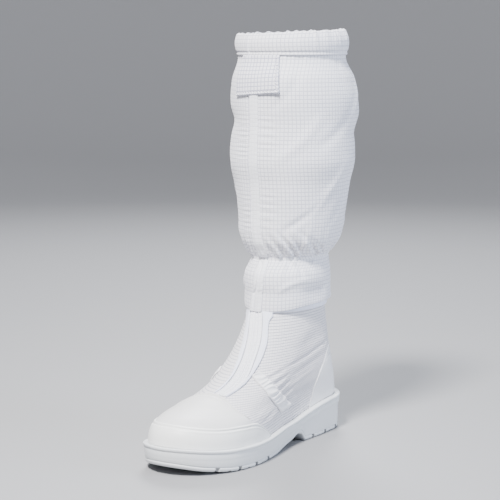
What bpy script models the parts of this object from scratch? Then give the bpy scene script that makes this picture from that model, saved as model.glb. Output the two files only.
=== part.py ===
"""Cleanroom boot, wearer's left: moulded sole, lasted upper and a tall fabric shaft.

Metres, +X to the toe, +Y to the wearer's left (the outer side), +Z up.
Until the last step x runs from the sole's heel (0) to its toe (SOLE_LENGTH).
"""
from collections import namedtuple
from math import ceil, cos, pi, sin, sqrt

import bmesh
import bpy
import numpy as np
from mathutils import Matrix

for old in list(bpy.data.objects):
    bpy.data.objects.remove(old, do_unlink=True)

# Driving dimensions
SOLE_LENGTH = 0.292
BALL_WIDTH = 0.103
HEEL_LIP_HEIGHT = 0.039
FOREPART_LIP_HEIGHT = 0.0224
TOE_LIP_RISE = 0.0056
TOE_SPRING = 0.009
ARCH_RISE = 0.010
COLLAR_HEIGHT = 0.148
BOOT_HEIGHT = 0.434
SHAFT_LENGTH = 0.146
SHAFT_WIDTH = 0.130

# Walls and clearances
GAP = 0.0003
SEAT = 0.0005
CUTTER_REACH = 0.004
UPPER_WALL = 0.0018
SHAFT_WALL = 0.0008
FOOTBED_DEPTH = 0.007
LIP_WIDTH = 0.0042
INSOLE_THICKNESS = 0.003
INSOLE_CLEARANCE = 0.0008
COLLAR_TUCK = 0.010
TOE_GUARD_HEIGHT = 0.020
TOE_GUARD_THICKNESS = 0.0016
PANEL_THICKNESS = 0.0008
COUNTER_THICKNESS = 0.0012
COUNTER_HEIGHT = 0.100
GUSSET_THICKNESS = 0.0009
GUSSET_RIB = 0.0008
GUSSET_RIBS = 11
PLACKET_THICKNESS = 0.0010
BINDING_THICKNESS = 0.0010
BINDING_WIDTH = 0.007
BINDING_CLEARANCE = 0.0016
CUFF_HEIGHT = 0.026
CUFF_THICKNESS = 0.0012
CUFF_GATHER = 0.0005
CUFF_GATHERS = 14
CUFF_EASE = 0.0006
FLAP_HEIGHT = 0.043
FLAP_THICKNESS = 0.0012
LUG_PITCH = 0.025
LUG_DEPTH = 0.003
LUG_CHANNEL = 0.0026
HEEL_ROUND = 0.036
TOE_ROUND = 0.062

# Fineness of the faceted solids; a grid is the columns along and the rows across an overlay
FOOT_TURNS = 38
UPPER_LEVELS = 14
SHAFT_TURNS = 28
SHAFT_RING_STEP = 0.035
CUFF_TURNS = 2 * SHAFT_TURNS
TOE_GUARD_GRID = (24, 1)
VAMP_GRID = (20, 2)
COUNTER_GRID = (36, 3)
GUSSET_GRID = (2 * GUSSET_RIBS, 1)
INSTEP_PLACKET_GRID = (12, 1)
BINDING_GRID = (40, 1)
SHAFT_PLACKET_GRID = (14, 1)
FLAP_GRID = (4, 3)
SHARP_ANGLE = 0.7

# How places on the smooth forms are found
NORMAL_STEP = 0.002
HALVINGS = 30
FRONT_TURNS = (0.30, 0.70)
INSTEP_RISES = (0.2, 0.6)

# Plan of the sole: share of SOLE_LENGTH from the heel; centre line and half width as shares of BALL_WIDTH
PlanRow = namedtuple("PlanRow", "share centre half_width")
SOLE_PLAN = [
    PlanRow(0.000, 0.000, 0.330),
    PlanRow(0.120, 0.010, 0.335),
    PlanRow(0.220, 0.017, 0.347),
    PlanRow(0.340, 0.029, 0.330),
    PlanRow(0.445, 0.036, 0.342),
    PlanRow(0.550, 0.036, 0.396),
    PlanRow(0.650, 0.022, 0.464),
    PlanRow(0.735, 0.005, 0.500),
    PlanRow(0.820, -0.012, 0.490),
    PlanRow(0.900, -0.034, 0.478),
    PlanRow(1.000, -0.068, 0.485),
]

# Height of the sole's lip: share of SOLE_LENGTH; share of the way from forepart height up to heel height
LipRow = namedtuple("LipRow", "share heel_part toe_part")
SOLE_LIP = [
    LipRow(0.000, 1.00, 0.00),
    LipRow(0.205, 0.82, 0.00),
    LipRow(0.410, 0.23, 0.00),
    LipRow(0.520, 0.08, 0.00),
    LipRow(0.650, 0.00, 0.00),
    LipRow(0.855, 0.00, 0.22),
    LipRow(1.000, 0.00, 1.00),
]

# Underside of the sole: share of SOLE_LENGTH; shares of ARCH_RISE and TOE_SPRING
UndersideRow = namedtuple("UndersideRow", "share arch_part toe_part")
SOLE_UNDERSIDE = [
    UndersideRow(0.000, 0.30, 0.00),
    UndersideRow(0.030, 0.00, 0.00),
    UndersideRow(0.325, 0.00, 0.00),
    UndersideRow(0.345, 0.75, 0.00),
    UndersideRow(0.375, 1.00, 0.00),
    UndersideRow(0.420, 0.62, 0.00),
    UndersideRow(0.490, 0.25, 0.00),
    UndersideRow(0.560, 0.00, 0.00),
    UndersideRow(0.730, 0.00, 0.00),
    UndersideRow(0.820, 0.00, 0.08),
    UndersideRow(0.920, 0.00, 0.42),
    UndersideRow(1.000, 0.00, 1.00),
]

# Level sections of the upper, feather line to collar: rise as a share of lip to collar,
# back and front as shares of SOLE_LENGTH drawn in from the sole's ends, foot as the share of
# the sole's plan in the outline, half_width as a share of BALL_WIDTH, rounds as shares of the
# section's own length
Section = namedtuple("Section", "name rise back front foot half_width front_round back_round")
UPPER_SECTIONS = [
    Section("feather line", 0.000, 0.0000, 0.0000, 1.00, 0.400, 0.22, 0.12),
    Section("sole lip", 0.000, 0.0000, 0.0000, 1.00, 0.400, 0.22, 0.12),
    Section("toe wall", 0.052, 0.0000, 0.0040, 1.00, 0.400, 0.22, 0.12),
    Section("toe wall", 0.113, 0.0030, 0.0130, 0.97, 0.390, 0.22, 0.13),
    Section("toe shoulder", 0.168, 0.0090, 0.0330, 0.86, 0.375, 0.23, 0.14),
    Section("toe shoulder", 0.207, 0.0140, 0.0640, 0.67, 0.362, 0.25, 0.15),
    Section("toe box top", 0.238, 0.0190, 0.1040, 0.46, 0.356, 0.27, 0.16),
    Section("vamp", 0.269, 0.0240, 0.1490, 0.34, 0.354, 0.29, 0.17),
    Section("vamp", 0.301, 0.0280, 0.1900, 0.26, 0.352, 0.31, 0.18),
    Section("ball", 0.339, 0.0325, 0.2380, 0.19, 0.350, 0.33, 0.19),
    Section("ball", 0.379, 0.0370, 0.2825, 0.13, 0.348, 0.35, 0.20),
    Section("waist", 0.435, 0.0420, 0.3270, 0.08, 0.345, 0.37, 0.22),
    Section("instep", 0.513, 0.0470, 0.3820, 0.04, 0.341, 0.40, 0.25),
    Section("instep", 0.610, 0.0490, 0.4370, 0.01, 0.336, 0.43, 0.30),
    Section("upper instep", 0.741, 0.0505, 0.4910, 0.00, 0.330, 0.46, 0.38),
    Section("ankle", 0.870, 0.0530, 0.5290, 0.00, 0.325, 0.48, 0.46),
    Section("collar", 1.000, 0.0550, 0.5600, 0.00, 0.322, 0.50, 0.50),
]

# Level sections of the shaft above the collar: height as a share of collar to top,
# centre as a share of SOLE_LENGTH, half sizes as shares of SHAFT_LENGTH and SHAFT_WIDTH
ShaftRow = namedtuple("ShaftRow", "name height centre half_length half_width")
SHAFT_SECTIONS = [
    ShaftRow("above the collar", 0.030, 0.248, 0.383, 0.308),
    ShaftRow("lower bulge", 0.075, 0.251, 0.390, 0.316),
    ShaftRow("lower bulge", 0.105, 0.250, 0.386, 0.312),
    ShaftRow("elastic", 0.160, 0.235, 0.343, 0.281),
    ShaftRow("above the elastic", 0.195, 0.229, 0.378, 0.323),
    ShaftRow("gathers", 0.230, 0.226, 0.418, 0.370),
    ShaftRow("gathers", 0.275, 0.223, 0.438, 0.392),
    ShaftRow("calf", 0.345, 0.220, 0.445, 0.415),
    ShaftRow("calf", 0.435, 0.219, 0.459, 0.442),
    ShaftRow("upper bulge", 0.530, 0.217, 0.486, 0.485),
    ShaftRow("upper bulge", 0.645, 0.211, 0.486, 0.485),
    ShaftRow("upper bulge", 0.750, 0.208, 0.500, 0.500),
    ShaftRow("below the cuff", 0.820, 0.218, 0.479, 0.477),
    ShaftRow("below the cuff", 0.900, 0.226, 0.418, 0.419),
    ShaftRow("cuff", 0.950, 0.226, 0.425, 0.427),
    ShaftRow("top edge", 1.000, 0.230, 0.418, 0.419),
]

WHITE_FABRIC = (0.86, 0.86, 0.90, 1.0)
WHITE_RUBBER = (0.84, 0.85, 0.87, 1.0)
WHITE_LEATHER = (0.88, 0.88, 0.89, 1.0)


def column(rows, name):
    return [getattr(row, name) for row in rows]


def smooth_through(shares, values, at):
    """Value at one place on the monotone cubic curve through a table's column."""
    at = min(max(at, shares[0]), shares[-1])
    last = len(shares) - 2
    i = min(max(int(np.searchsorted(shares, at, side="right")) - 1, 0), last)
    steps = np.diff(shares)
    slopes = np.diff(values) / steps

    def tangent(k):
        if k == 0:
            return slopes[0]
        if k == len(shares) - 1:
            return slopes[-1]
        before, after = slopes[k - 1], slopes[k]
        if before * after <= 0.0:
            return 0.0
        return 2.0 * before * after / (before + after)

    t = (at - shares[i]) / steps[i]
    low, high = values[i], values[i + 1]
    pull_low = tangent(i) * steps[i]
    pull_high = tangent(i + 1) * steps[i]
    return (
        low * (1 + 2 * t) * (1 - t) ** 2
        + pull_low * t * (1 - t) ** 2
        + high * t * t * (3 - 2 * t)
        + pull_high * t * t * (t - 1)
    )


PLAN_SHARES = column(SOLE_PLAN, "share")
PLAN_CENTRES = column(SOLE_PLAN, "centre")
PLAN_HALVES = column(SOLE_PLAN, "half_width")


def plan_centre(x):
    return BALL_WIDTH * smooth_through(PLAN_SHARES, PLAN_CENTRES, x / SOLE_LENGTH)


def plan_half_width(x):
    return BALL_WIDTH * smooth_through(PLAN_SHARES, PLAN_HALVES, x / SOLE_LENGTH)


def lip_height(x):
    shares = column(SOLE_LIP, "share")
    heel_part = smooth_through(shares, column(SOLE_LIP, "heel_part"), x / SOLE_LENGTH)
    toe_part = smooth_through(shares, column(SOLE_LIP, "toe_part"), x / SOLE_LENGTH)
    heel_rise = HEEL_LIP_HEIGHT - FOREPART_LIP_HEIGHT
    return FOREPART_LIP_HEIGHT + heel_part * heel_rise + toe_part * TOE_LIP_RISE


def underside_height(x):
    shares = column(SOLE_UNDERSIDE, "share")
    arch_part = smooth_through(shares, column(SOLE_UNDERSIDE, "arch_part"), x / SOLE_LENGTH)
    toe_part = smooth_through(shares, column(SOLE_UNDERSIDE, "toe_part"), x / SOLE_LENGTH)
    return arch_part * ARCH_RISE + toe_part * TOE_SPRING


def rounded_ends(x, back, front, back_round, front_round):
    """Share of the full width left where an outline closes towards its back or front end."""
    left = 1.0
    if x < back + back_round:
        left *= sqrt(max(0.0, 1.0 - ((back + back_round - x) / back_round) ** 2))
    if x > front - front_round:
        left *= sqrt(max(0.0, 1.0 - ((x - front + front_round) / front_round) ** 2))
    return left


def outline_x(turn, back, front):
    """Turn 0 is the back, 0.25 the outer side, 0.5 the front and 0.75 the inner side."""
    return back + (front - back) * (1.0 - cos(2.0 * pi * turn)) / 2.0


def side_of(turn):
    return 1.0 if turn % 1.0 < 0.5 else -1.0


def sole_outline(turn, out):
    """Point of the sole's plan, moved outwards by out."""
    back = -out
    front = SOLE_LENGTH + out
    x = outline_x(turn, back, front)
    half = plan_half_width(x) + out
    half *= rounded_ends(x, back, front, HEEL_ROUND + out, TOE_ROUND + out)
    return x, plan_centre(x) + side_of(turn) * half


FEATHER_INSET = LIP_WIDTH + GAP
SECTION_COLUMNS = {name: column(UPPER_SECTIONS, name) for name in Section._fields[1:]}
SECTION_NUMBERS = list(range(len(UPPER_SECTIONS)))


def section_value(name, level):
    return smooth_through(SECTION_NUMBERS, SECTION_COLUMNS[name], level * SECTION_NUMBERS[-1])


def upper_point(turn, level):
    """Outer face of the upper; level 0 is the feather line in the sole and 1 the collar."""
    back = FEATHER_INSET + section_value("back", level) * SOLE_LENGTH
    front = SOLE_LENGTH - FEATHER_INSET - section_value("front", level) * SOLE_LENGTH
    foot = section_value("foot", level)
    x = outline_x(turn, back, front)
    length = front - back
    back_round = foot * (HEEL_ROUND - FEATHER_INSET)
    back_round += (1.0 - foot) * section_value("back_round", level) * length
    front_round = foot * (TOE_ROUND - FEATHER_INSET)
    front_round += (1.0 - foot) * section_value("front_round", level) * length
    half = foot * (plan_half_width(x) - FEATHER_INSET)
    half += (1.0 - foot) * section_value("half_width", level) * BALL_WIDTH
    half *= rounded_ends(x, back, front, back_round, front_round)
    y = foot * plan_centre(x) + side_of(turn) * half
    rise = section_value("rise", level)
    z = (1.0 - rise) * lip_height(x) + rise * COLLAR_HEIGHT
    first_step = 1.0 / SECTION_NUMBERS[-1]
    below_lip = max(0.0, 1.0 - level / first_step)
    z -= below_lip * (FOOTBED_DEPTH - GAP)
    return np.array((x, y, z))


COLLAR_CENTRE = (upper_point(0.0, 1.0)[0] + upper_point(0.5, 1.0)[0]) / 2.0
COLLAR_HALF_LENGTH = (upper_point(0.5, 1.0)[0] - upper_point(0.0, 1.0)[0]) / 2.0
COLLAR_HALF_WIDTH = UPPER_SECTIONS[-1].half_width * BALL_WIDTH
TUCK_INSET = UPPER_WALL + GAP


def shaft_rows():
    """Height, centre, half length and half width of each shaft section, tuck included."""
    half_length = COLLAR_HALF_LENGTH - TUCK_INSET
    half_width = COLLAR_HALF_WIDTH - TUCK_INSET
    rise = BOOT_HEIGHT - COLLAR_HEIGHT
    rows = [
        (COLLAR_HEIGHT - COLLAR_TUCK, COLLAR_CENTRE, half_length, half_width),
        (COLLAR_HEIGHT, COLLAR_CENTRE, half_length, half_width),
    ]
    for row in SHAFT_SECTIONS:
        rows.append((
            COLLAR_HEIGHT + row.height * rise,
            row.centre * SOLE_LENGTH,
            row.half_length * SHAFT_LENGTH,
            row.half_width * SHAFT_WIDTH,
        ))
    return rows


SHAFT_ROWS = shaft_rows()
SHAFT_HEIGHTS = [row[0] for row in SHAFT_ROWS]


def shaft_point(turn, height):
    """Outer face of the shaft at a height above the floor."""
    centre, half_length, half_width = (
        smooth_through(SHAFT_HEIGHTS, [row[i] for row in SHAFT_ROWS], height) for i in (1, 2, 3)
    )
    angle = 2.0 * pi * turn
    return np.array((centre - half_length * cos(angle), half_width * sin(angle), height))


def normal_at(surface, turn, level, low, high):
    """Outward normal of a surface, from nearby points."""
    above = min(level + NORMAL_STEP * (high - low), high)
    below = max(level - NORMAL_STEP * (high - low), low)
    along = surface(turn + NORMAL_STEP, level) - surface(turn - NORMAL_STEP, level)
    up = surface(turn, above) - surface(turn, below)
    normal = np.cross(up, along)
    return normal / np.linalg.norm(normal)


def upper_offset(turn, level, offset):
    return upper_point(turn, level) + offset * normal_at(upper_point, turn, level, 0.0, 1.0)


def shaft_offset(turn, height, offset):
    normal = normal_at(shaft_point, turn, height, SHAFT_HEIGHTS[0], BOOT_HEIGHT)
    return shaft_point(turn, height) + offset * normal


def material(name, colour, roughness):
    finish = bpy.data.materials.new(name)
    finish.use_nodes = True
    shader = finish.node_tree.nodes["Principled BSDF"]
    shader.inputs["Base Color"].default_value = colour
    shader.inputs["Roughness"].default_value = roughness
    shader.inputs["Metallic"].default_value = 0.0
    return finish


def add_solid(name, mesh_data, colour, roughness):
    """Make one named object from a bmesh, its faces turned outwards."""
    bmesh.ops.recalc_face_normals(mesh_data, faces=mesh_data.faces)
    mesh = bpy.data.meshes.new(name)
    mesh_data.to_mesh(mesh)
    mesh_data.free()
    mesh.materials.append(material(name + "_finish", colour, roughness))
    mesh.shade_smooth()
    mesh.set_sharp_from_angle(angle=SHARP_ANGLE)
    solid = bpy.data.objects.new(name, mesh)
    bpy.context.scene.collection.objects.link(solid)
    return solid


def bridge_rows(mesh_data, rows, closed):
    """Faces between neighbouring rows of vertices."""
    for lower, upper in zip(rows, rows[1:]):
        count = len(lower)
        for i in range(count if closed else count - 1):
            j = (i + 1) % count
            mesh_data.faces.new((lower[i], lower[j], upper[j], upper[i]))


def add_facets(mesh_data, rings):
    """Triangles between neighbouring rings, every patch of four corners split the same way."""
    for lower, upper in zip(rings, rings[1:]):
        for i in range(len(lower)):
            j = (i + 1) % len(lower)
            mesh_data.faces.new((lower[i], lower[j], upper[j]))
            mesh_data.faces.new((lower[i], upper[j], upper[i]))


def wall_between(name, outer, inner, look):
    """Closed wall between an outer and an inner stack of rings, open at top and bottom."""
    mesh_data = bmesh.new()
    outer_rings, inner_rings = (
        [[mesh_data.verts.new(p) for p in ring] for ring in stack] for stack in (outer, inner)
    )
    add_facets(mesh_data, outer_rings)
    add_facets(mesh_data, inner_rings)
    for end in (0, -1):
        bridge_rows(mesh_data, [outer_rings[end], inner_rings[end]], closed=True)
    return add_solid(name, mesh_data, *look)


def even_shares(count):
    return [i / (count - 1) for i in range(count)]


def shaft_ring_heights():
    """Heights of the shaft's rings: every section of the table, with more between far ones."""
    heights = [SHAFT_HEIGHTS[0]]
    for low, high in zip(SHAFT_HEIGHTS, SHAFT_HEIGHTS[1:]):
        steps = ceil((high - low) / SHAFT_RING_STEP)
        heights += [low + (high - low) * (i + 1) / steps for i in range(steps)]
    return heights


def form_points(surface, turns, levels):
    """Points and outward normals of a form on its grid of turns and levels."""
    low, high = levels[0], levels[-1]
    points = []
    for level in levels:
        ring = [i / turns for i in range(turns)]
        points.append([(surface(t, level), normal_at(surface, t, level, low, high)) for t in ring])
    return points


UPPER_FORM = form_points(upper_point, FOOT_TURNS, even_shares(UPPER_LEVELS))
SHAFT_FORM = form_points(shaft_point, SHAFT_TURNS, shaft_ring_heights())


def offset_rings(form, offset):
    return [[point + normal * offset for point, normal in ring] for ring in form]


def make_walled_form(name, form, wall, look):
    """The form itself as a wall of even thickness, its two ends cut level."""
    outer = offset_rings(form, 0.0)
    inner = offset_rings(form, -wall)
    for end in (0, -1):
        for outside, inside in zip(outer[end], inner[end]):
            inside[2] = outside[2]
    return wall_between(name, outer, inner, look)


FABRIC_LOOK = (WHITE_FABRIC, 0.8)
LEATHER_LOOK = (WHITE_LEATHER, 0.42)
RUBBER_LOOK = (WHITE_RUBBER, 0.35)


# Side of the sole from the tread edge up to the lip, in metres: height over the underside or
# under the lip, and how far the side stands out of the plan at the forepart and at the heel
SideRow = namedtuple("SideRow", "name above_underside below_lip forepart_out heel_out")
SOLE_SIDE = [
    SideRow("tread edge", 0.0000, None, -0.0016, -0.0016),
    SideRow("tread corner", 0.0014, None, -0.0002, -0.0002),
    SideRow("tread side", 0.0032, None, 0.0002, 0.0002),
    SideRow("groove", 0.0038, None, -0.0006, -0.0006),
    SideRow("groove", 0.0046, None, -0.0006, -0.0006),
    SideRow("side foot", 0.0052, None, 0.0004, 0.0002),
    SideRow("side step", None, 0.0100, 0.0012, 0.0006),
    SideRow("side step", None, 0.0090, 0.0014, 0.0018),
    SideRow("under the lip", None, 0.0036, 0.0016, 0.0020),
    SideRow("lip", None, 0.0026, 0.0024, 0.0026),
    SideRow("lip", None, 0.0006, 0.0024, 0.0026),
    SideRow("lip top", None, 0.0000, 0.0016, 0.0018),
]
HEEL_LUGS = (0.05, 0.325)
FOREPART_LUGS = (0.56, 0.97)
HEEL_SIDE_END = 0.36
FOREPART_SIDE_START = 0.46


def side_out(row, x):
    share = x / SOLE_LENGTH
    t = (share - HEEL_SIDE_END) / (FOREPART_SIDE_START - HEEL_SIDE_END)
    t = min(max(t, 0.0), 1.0)
    return row.heel_out + (row.forepart_out - row.heel_out) * t


def sole_ring(mesh_data, out_at, height_at):
    ring = []
    for i in range(FOOT_TURNS):
        turn = i / FOOT_TURNS
        rough_x = outline_x(turn, 0.0, SOLE_LENGTH)
        x, y = sole_outline(turn, out_at(rough_x))
        ring.append(mesh_data.verts.new((x, y, height_at(x))))
    return ring


def fill_across(mesh_data, ring):
    """Close a ring with strips from the outer side to the inner side."""
    count = len(ring)
    for i in range(count // 2):
        corners = [ring[i], ring[i + 1], ring[(count - i - 1) % count], ring[(count - i) % count]]
        corners = list(dict.fromkeys(corners))
        mesh_data.faces.new(corners)


def make_outsole():
    mesh_data = bmesh.new()
    rings = []
    for row in SOLE_SIDE:
        if row.below_lip is None:
            def height_at(x, row=row):
                return underside_height(x) + row.above_underside
        else:
            def height_at(x, row=row):
                return lip_height(x) - row.below_lip
        rings.append(sole_ring(mesh_data, lambda x, row=row: side_out(row, x), height_at))
    rings.append(sole_ring(mesh_data, lambda x: -LIP_WIDTH, lip_height))
    rings.append(sole_ring(mesh_data, lambda x: -LIP_WIDTH, lambda x: lip_height(x) - FOOTBED_DEPTH))
    bridge_rows(mesh_data, rings, closed=True)
    fill_across(mesh_data, rings[0])
    fill_across(mesh_data, rings[-1])
    return add_solid("outsole", mesh_data, *RUBBER_LOOK)


def place_tread_cutter(name, boxes):
    """One unseen object made of boxes, each given by its lowest and highest corner."""
    mesh_data = bmesh.new()
    for low, high in boxes:
        made = bmesh.ops.create_cube(mesh_data, size=1.0)
        for vertex in made["verts"]:
            vertex.co = [(a + b) / 2.0 + (b - a) * c for a, b, c in zip(low, high, vertex.co)]
    mesh = bpy.data.meshes.new(name)
    mesh_data.to_mesh(mesh)
    mesh_data.free()
    cutter = bpy.data.objects.new(name, mesh)
    bpy.context.scene.collection.objects.link(cutter)
    hide_cutter(cutter)
    return cutter


def channel_box(x):
    """Box of one channel across the tread."""
    reach = BALL_WIDTH
    top = underside_height(x) + LUG_DEPTH
    return (x - LUG_CHANNEL / 2.0, -reach, -reach), (x + LUG_CHANNEL / 2.0, reach, top)


def cut_lugs(outsole):
    """Cut channels across the heel and forepart, then one lengthwise channel in each."""
    heel_start, heel_end = HEEL_LUGS
    fore_start, fore_end = FOREPART_LUGS
    places = []
    for start, end in ((heel_start, heel_end), (fore_start, fore_end)):
        run = (end - start) * SOLE_LENGTH
        count = int(run / LUG_PITCH)
        first = start * SOLE_LENGTH + (run - (count - 1) * LUG_PITCH) / 2.0
        places += [first + i * LUG_PITCH for i in range(count)]
    half = LUG_CHANNEL / 2.0
    lengthwise = []
    for start, end in ((heel_start, heel_end), (fore_start, fore_end)):
        low = (start * SOLE_LENGTH - LUG_PITCH, -half, -BALL_WIDTH)
        high = (end * SOLE_LENGTH + LUG_PITCH, half, LUG_DEPTH)
        lengthwise.append((low, high))
    cutters = [
        place_tread_cutter("cutter_across", [channel_box(x) for x in places]),
        place_tread_cutter("cutter_lengthwise", lengthwise),
    ]
    for cutter in cutters:
        add_boolean(outsole, cutter, "DIFFERENCE")


def make_insole():
    mesh_data = bmesh.new()
    out = -(FEATHER_INSET + UPPER_WALL + INSOLE_CLEARANCE)
    rings = []
    for lift in (GAP, GAP + INSOLE_THICKNESS):
        def height_at(x, lift=lift):
            return lip_height(x) - FOOTBED_DEPTH + lift
        rings.append(sole_ring(mesh_data, lambda x: out, height_at))
    bridge_rows(mesh_data, rings, closed=True)
    fill_across(mesh_data, rings[0])
    fill_across(mesh_data, rings[1])
    return add_solid("insole", mesh_data, *FABRIC_LOOK)


def solve(function, target, low, high):
    """Place between low and high where a rising function reaches its target."""
    for _ in range(HALVINGS):
        middle = (low + high) / 2.0
        if function(middle) < target:
            low = middle
        else:
            high = middle
    return (low + high) / 2.0


LIP_LEVEL = 1.0 / SECTION_NUMBERS[-1]


def height_above_lip(turn, level):
    x, _, z = upper_point(turn, level)
    return z - lip_height(x)


def spot_over_lip(turn, height):
    """Turn and level of the upper's face a height above the sole's lip."""
    return turn, solve(lambda level: height_above_lip(turn, level), height, LIP_LEVEL, 1.0)


def turn_at(x, side, level=LIP_LEVEL):
    """Turn where a level section passes x on the outer (1) or inner (-1) side."""
    back = upper_point(0.0, level)[0]
    front = upper_point(0.5, level)[0]
    share = min(max((x - back) / (front - back), 0.0), 1.0)
    turn = np.arccos(1.0 - 2.0 * share) / (2.0 * pi)
    return turn if side > 0 else 1.0 - turn


def spot_on_side(x_share, height, side):
    """Turn and level seen from the side: a share of SOLE_LENGTH and a height above the floor."""
    x = x_share * SOLE_LENGTH
    lip = lip_height(x)
    rise = (height - lip) / (COLLAR_HEIGHT - lip)
    level = solve(lambda place: section_value("rise", place), rise, LIP_LEVEL, 1.0)
    return turn_at(x, side, level), level


def spot_in_front(y_share, rise):
    """Turn and level on the instep: y as a share of BALL_WIDTH, rise from lip to collar."""
    level = solve(lambda place: section_value("rise", place), rise, LIP_LEVEL, 1.0)
    y = y_share * BALL_WIDTH
    turn = solve(lambda place: -upper_point(place, level)[1], -y, *FRONT_TURNS)
    return turn, level


def spot_from_above(x_share, y_share):
    """Turn and level on the instep seen from above: shares of SOLE_LENGTH and BALL_WIDTH."""
    def further_back(rise):
        return -upper_point(*spot_in_front(y_share, rise))[0]
    return spot_in_front(y_share, solve(further_back, -x_share * SOLE_LENGTH, *INSTEP_RISES))


def along_edge(spots, share):
    """Turn and level a share of the way along an edge drawn smoothly through its spots."""
    numbers = list(range(len(spots)))
    place = share * numbers[-1]
    return tuple(smooth_through(numbers, [spot[i] for spot in spots], place) for i in (0, 1))


def ruled_sheet(name, offset_face, edges, grid, inner, outer, ripple=None):
    """Closed sheet between two offsets of a form, ruled between two edges of spots."""
    first_edge, last_edge = edges
    columns, rows = grid
    faces = []
    for depth in (outer, inner):
        lines = []
        for across in even_shares(rows + 1):
            line = []
            for share in even_shares(columns + 1):
                start = along_edge(first_edge, share)
                end = along_edge(last_edge, share)
                turn, level = (a + (b - a) * across for a, b in zip(start, end))
                swell = ripple(share) if ripple and depth == outer else 0.0
                line.append(offset_face(turn, level, depth + swell))
            lines.append(line)
        faces.append(lines)
    mesh_data = bmesh.new()
    outer_rows, inner_rows = (
        [[mesh_data.verts.new(p) for p in line] for line in lines] for lines in faces
    )
    loop = outer_rows + inner_rows[::-1]
    bridge_rows(mesh_data, loop + [loop[0]], closed=False)
    for i in (0, -1):
        section = [line[i] for line in outer_rows], [line[i] for line in inner_rows]
        bridge_rows(mesh_data, section, closed=False)
    return add_solid(name, mesh_data, *FABRIC_LOOK)


def hide_cutter(cutter):
    cutter.hide_render = True
    cutter.display_type = "WIRE"


def add_boolean(solid, cutter, operation):
    cut = solid.modifiers.new(cutter.name, "BOOLEAN")
    cut.operation = operation
    cut.solver = "EXACT"
    cut.object = cutter


def make_overlay(name, form, offset_face, edges, grid, inner, thickness, look, ripple=None):
    """Overlay cut out of the wall between two larger copies of a form.

    Its facets run parallel to the form's own. A ripple is cut into its outer face.
    """
    depth = thickness + CUTTER_REACH if ripple else thickness
    overlay = wall_between(name, offset_rings(form, inner + depth), offset_rings(form, inner), look)
    top = inner + thickness if ripple else inner + thickness + CUTTER_REACH
    cutter = ruled_sheet("cutter_" + name, offset_face, edges, grid, -CUTTER_REACH, top, ripple)
    hide_cutter(cutter)
    add_boolean(overlay, cutter, "INTERSECT")
    return overlay


def make_upper_overlay(name, edges, grid, thickness, look, ripple=None):
    make_overlay(name, UPPER_FORM, upper_offset, edges, grid, SEAT, thickness, look, ripple)


# Top edge of the toe guard: share of SOLE_LENGTH and share of TOE_GUARD_HEIGHT over the lip
GuardRow = namedtuple("GuardRow", "share height")
TOE_GUARD_EDGE = [
    GuardRow(0.606, 0.10),
    GuardRow(0.641, 0.45),
    GuardRow(0.687, 0.80),
    GuardRow(0.733, 1.00),
    GuardRow(0.800, 1.03),
    GuardRow(0.870, 1.00),
    GuardRow(0.930, 1.00),
    GuardRow(0.965, 1.02),
]
TOE_TIP_HEIGHT = 1.04
VAMP_FROM = 3


def spots_round_toe(rows, height_share, lift):
    """Spots round the toe, outer side to inner side, at a share of the guard's height plus a lift."""
    sides = []
    for side in (1, -1):
        line = []
        for row in rows:
            turn = turn_at(row.share * SOLE_LENGTH, side)
            line.append(spot_over_lip(turn, lift + height_share * row.height * TOE_GUARD_HEIGHT))
        sides.append(line)
    tip = spot_over_lip(0.5, lift + height_share * TOE_TIP_HEIGHT * TOE_GUARD_HEIGHT)
    return sides[0] + [tip] + sides[1][::-1]


def make_toe_guard():
    edges = [spots_round_toe(TOE_GUARD_EDGE, share, GAP) for share in (0.0, 1.0)]
    make_upper_overlay("toe_guard", edges, TOE_GUARD_GRID, TOE_GUARD_THICKNESS, LEATHER_LOOK)


# Back edge of the vamp panel: on the sides as shares of SOLE_LENGTH and of the way from the toe
# guard's top up to the collar, across the top as shares of SOLE_LENGTH and BALL_WIDTH
SideSpot = namedtuple("SideSpot", "share height")
VAMP_BACK_EDGE = [
    SideSpot(0.738, 0.044),
    SideSpot(0.752, 0.092),
    SideSpot(0.753, 0.142),
]
VAMP_BACK_FROM_ABOVE = [
    (0.744, 0.220),
    (0.734, 0.120),
    (0.730, 0.000),
    (0.734, -0.120),
    (0.744, -0.220),
]


def vamp_spot(row, side):
    guard_top = lip_height(row.share * SOLE_LENGTH) + TOE_GUARD_HEIGHT
    return spot_on_side(row.share, guard_top + row.height * (COLLAR_HEIGHT - guard_top), side)


def make_vamp():
    front = spots_round_toe(TOE_GUARD_EDGE[VAMP_FROM:], 1.0, 2.0 * GAP + PANEL_THICKNESS)
    ridge = [spot_from_above(*spot) for spot in VAMP_BACK_FROM_ABOVE]
    sides = [[vamp_spot(row, side) for row in VAMP_BACK_EDGE] for side in (1, -1)]
    back = sides[0] + ridge + sides[1][::-1]
    make_upper_overlay("vamp", (front, back), VAMP_GRID, PANEL_THICKNESS, LEATHER_LOOK)


# Front edge of the heel counter from the side, sole to top: shares of SOLE_LENGTH and COUNTER_HEIGHT
COUNTER_EDGE = [
    SideSpot(0.282, 0.34),
    SideSpot(0.262, 0.46),
    SideSpot(0.243, 0.59),
    SideSpot(0.219, 0.70),
    SideSpot(0.190, 0.81),
    SideSpot(0.160, 0.92),
    SideSpot(0.110, 0.98),
]
COUNTER_BACK_TURNS = (0.066, 0.033)


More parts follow.
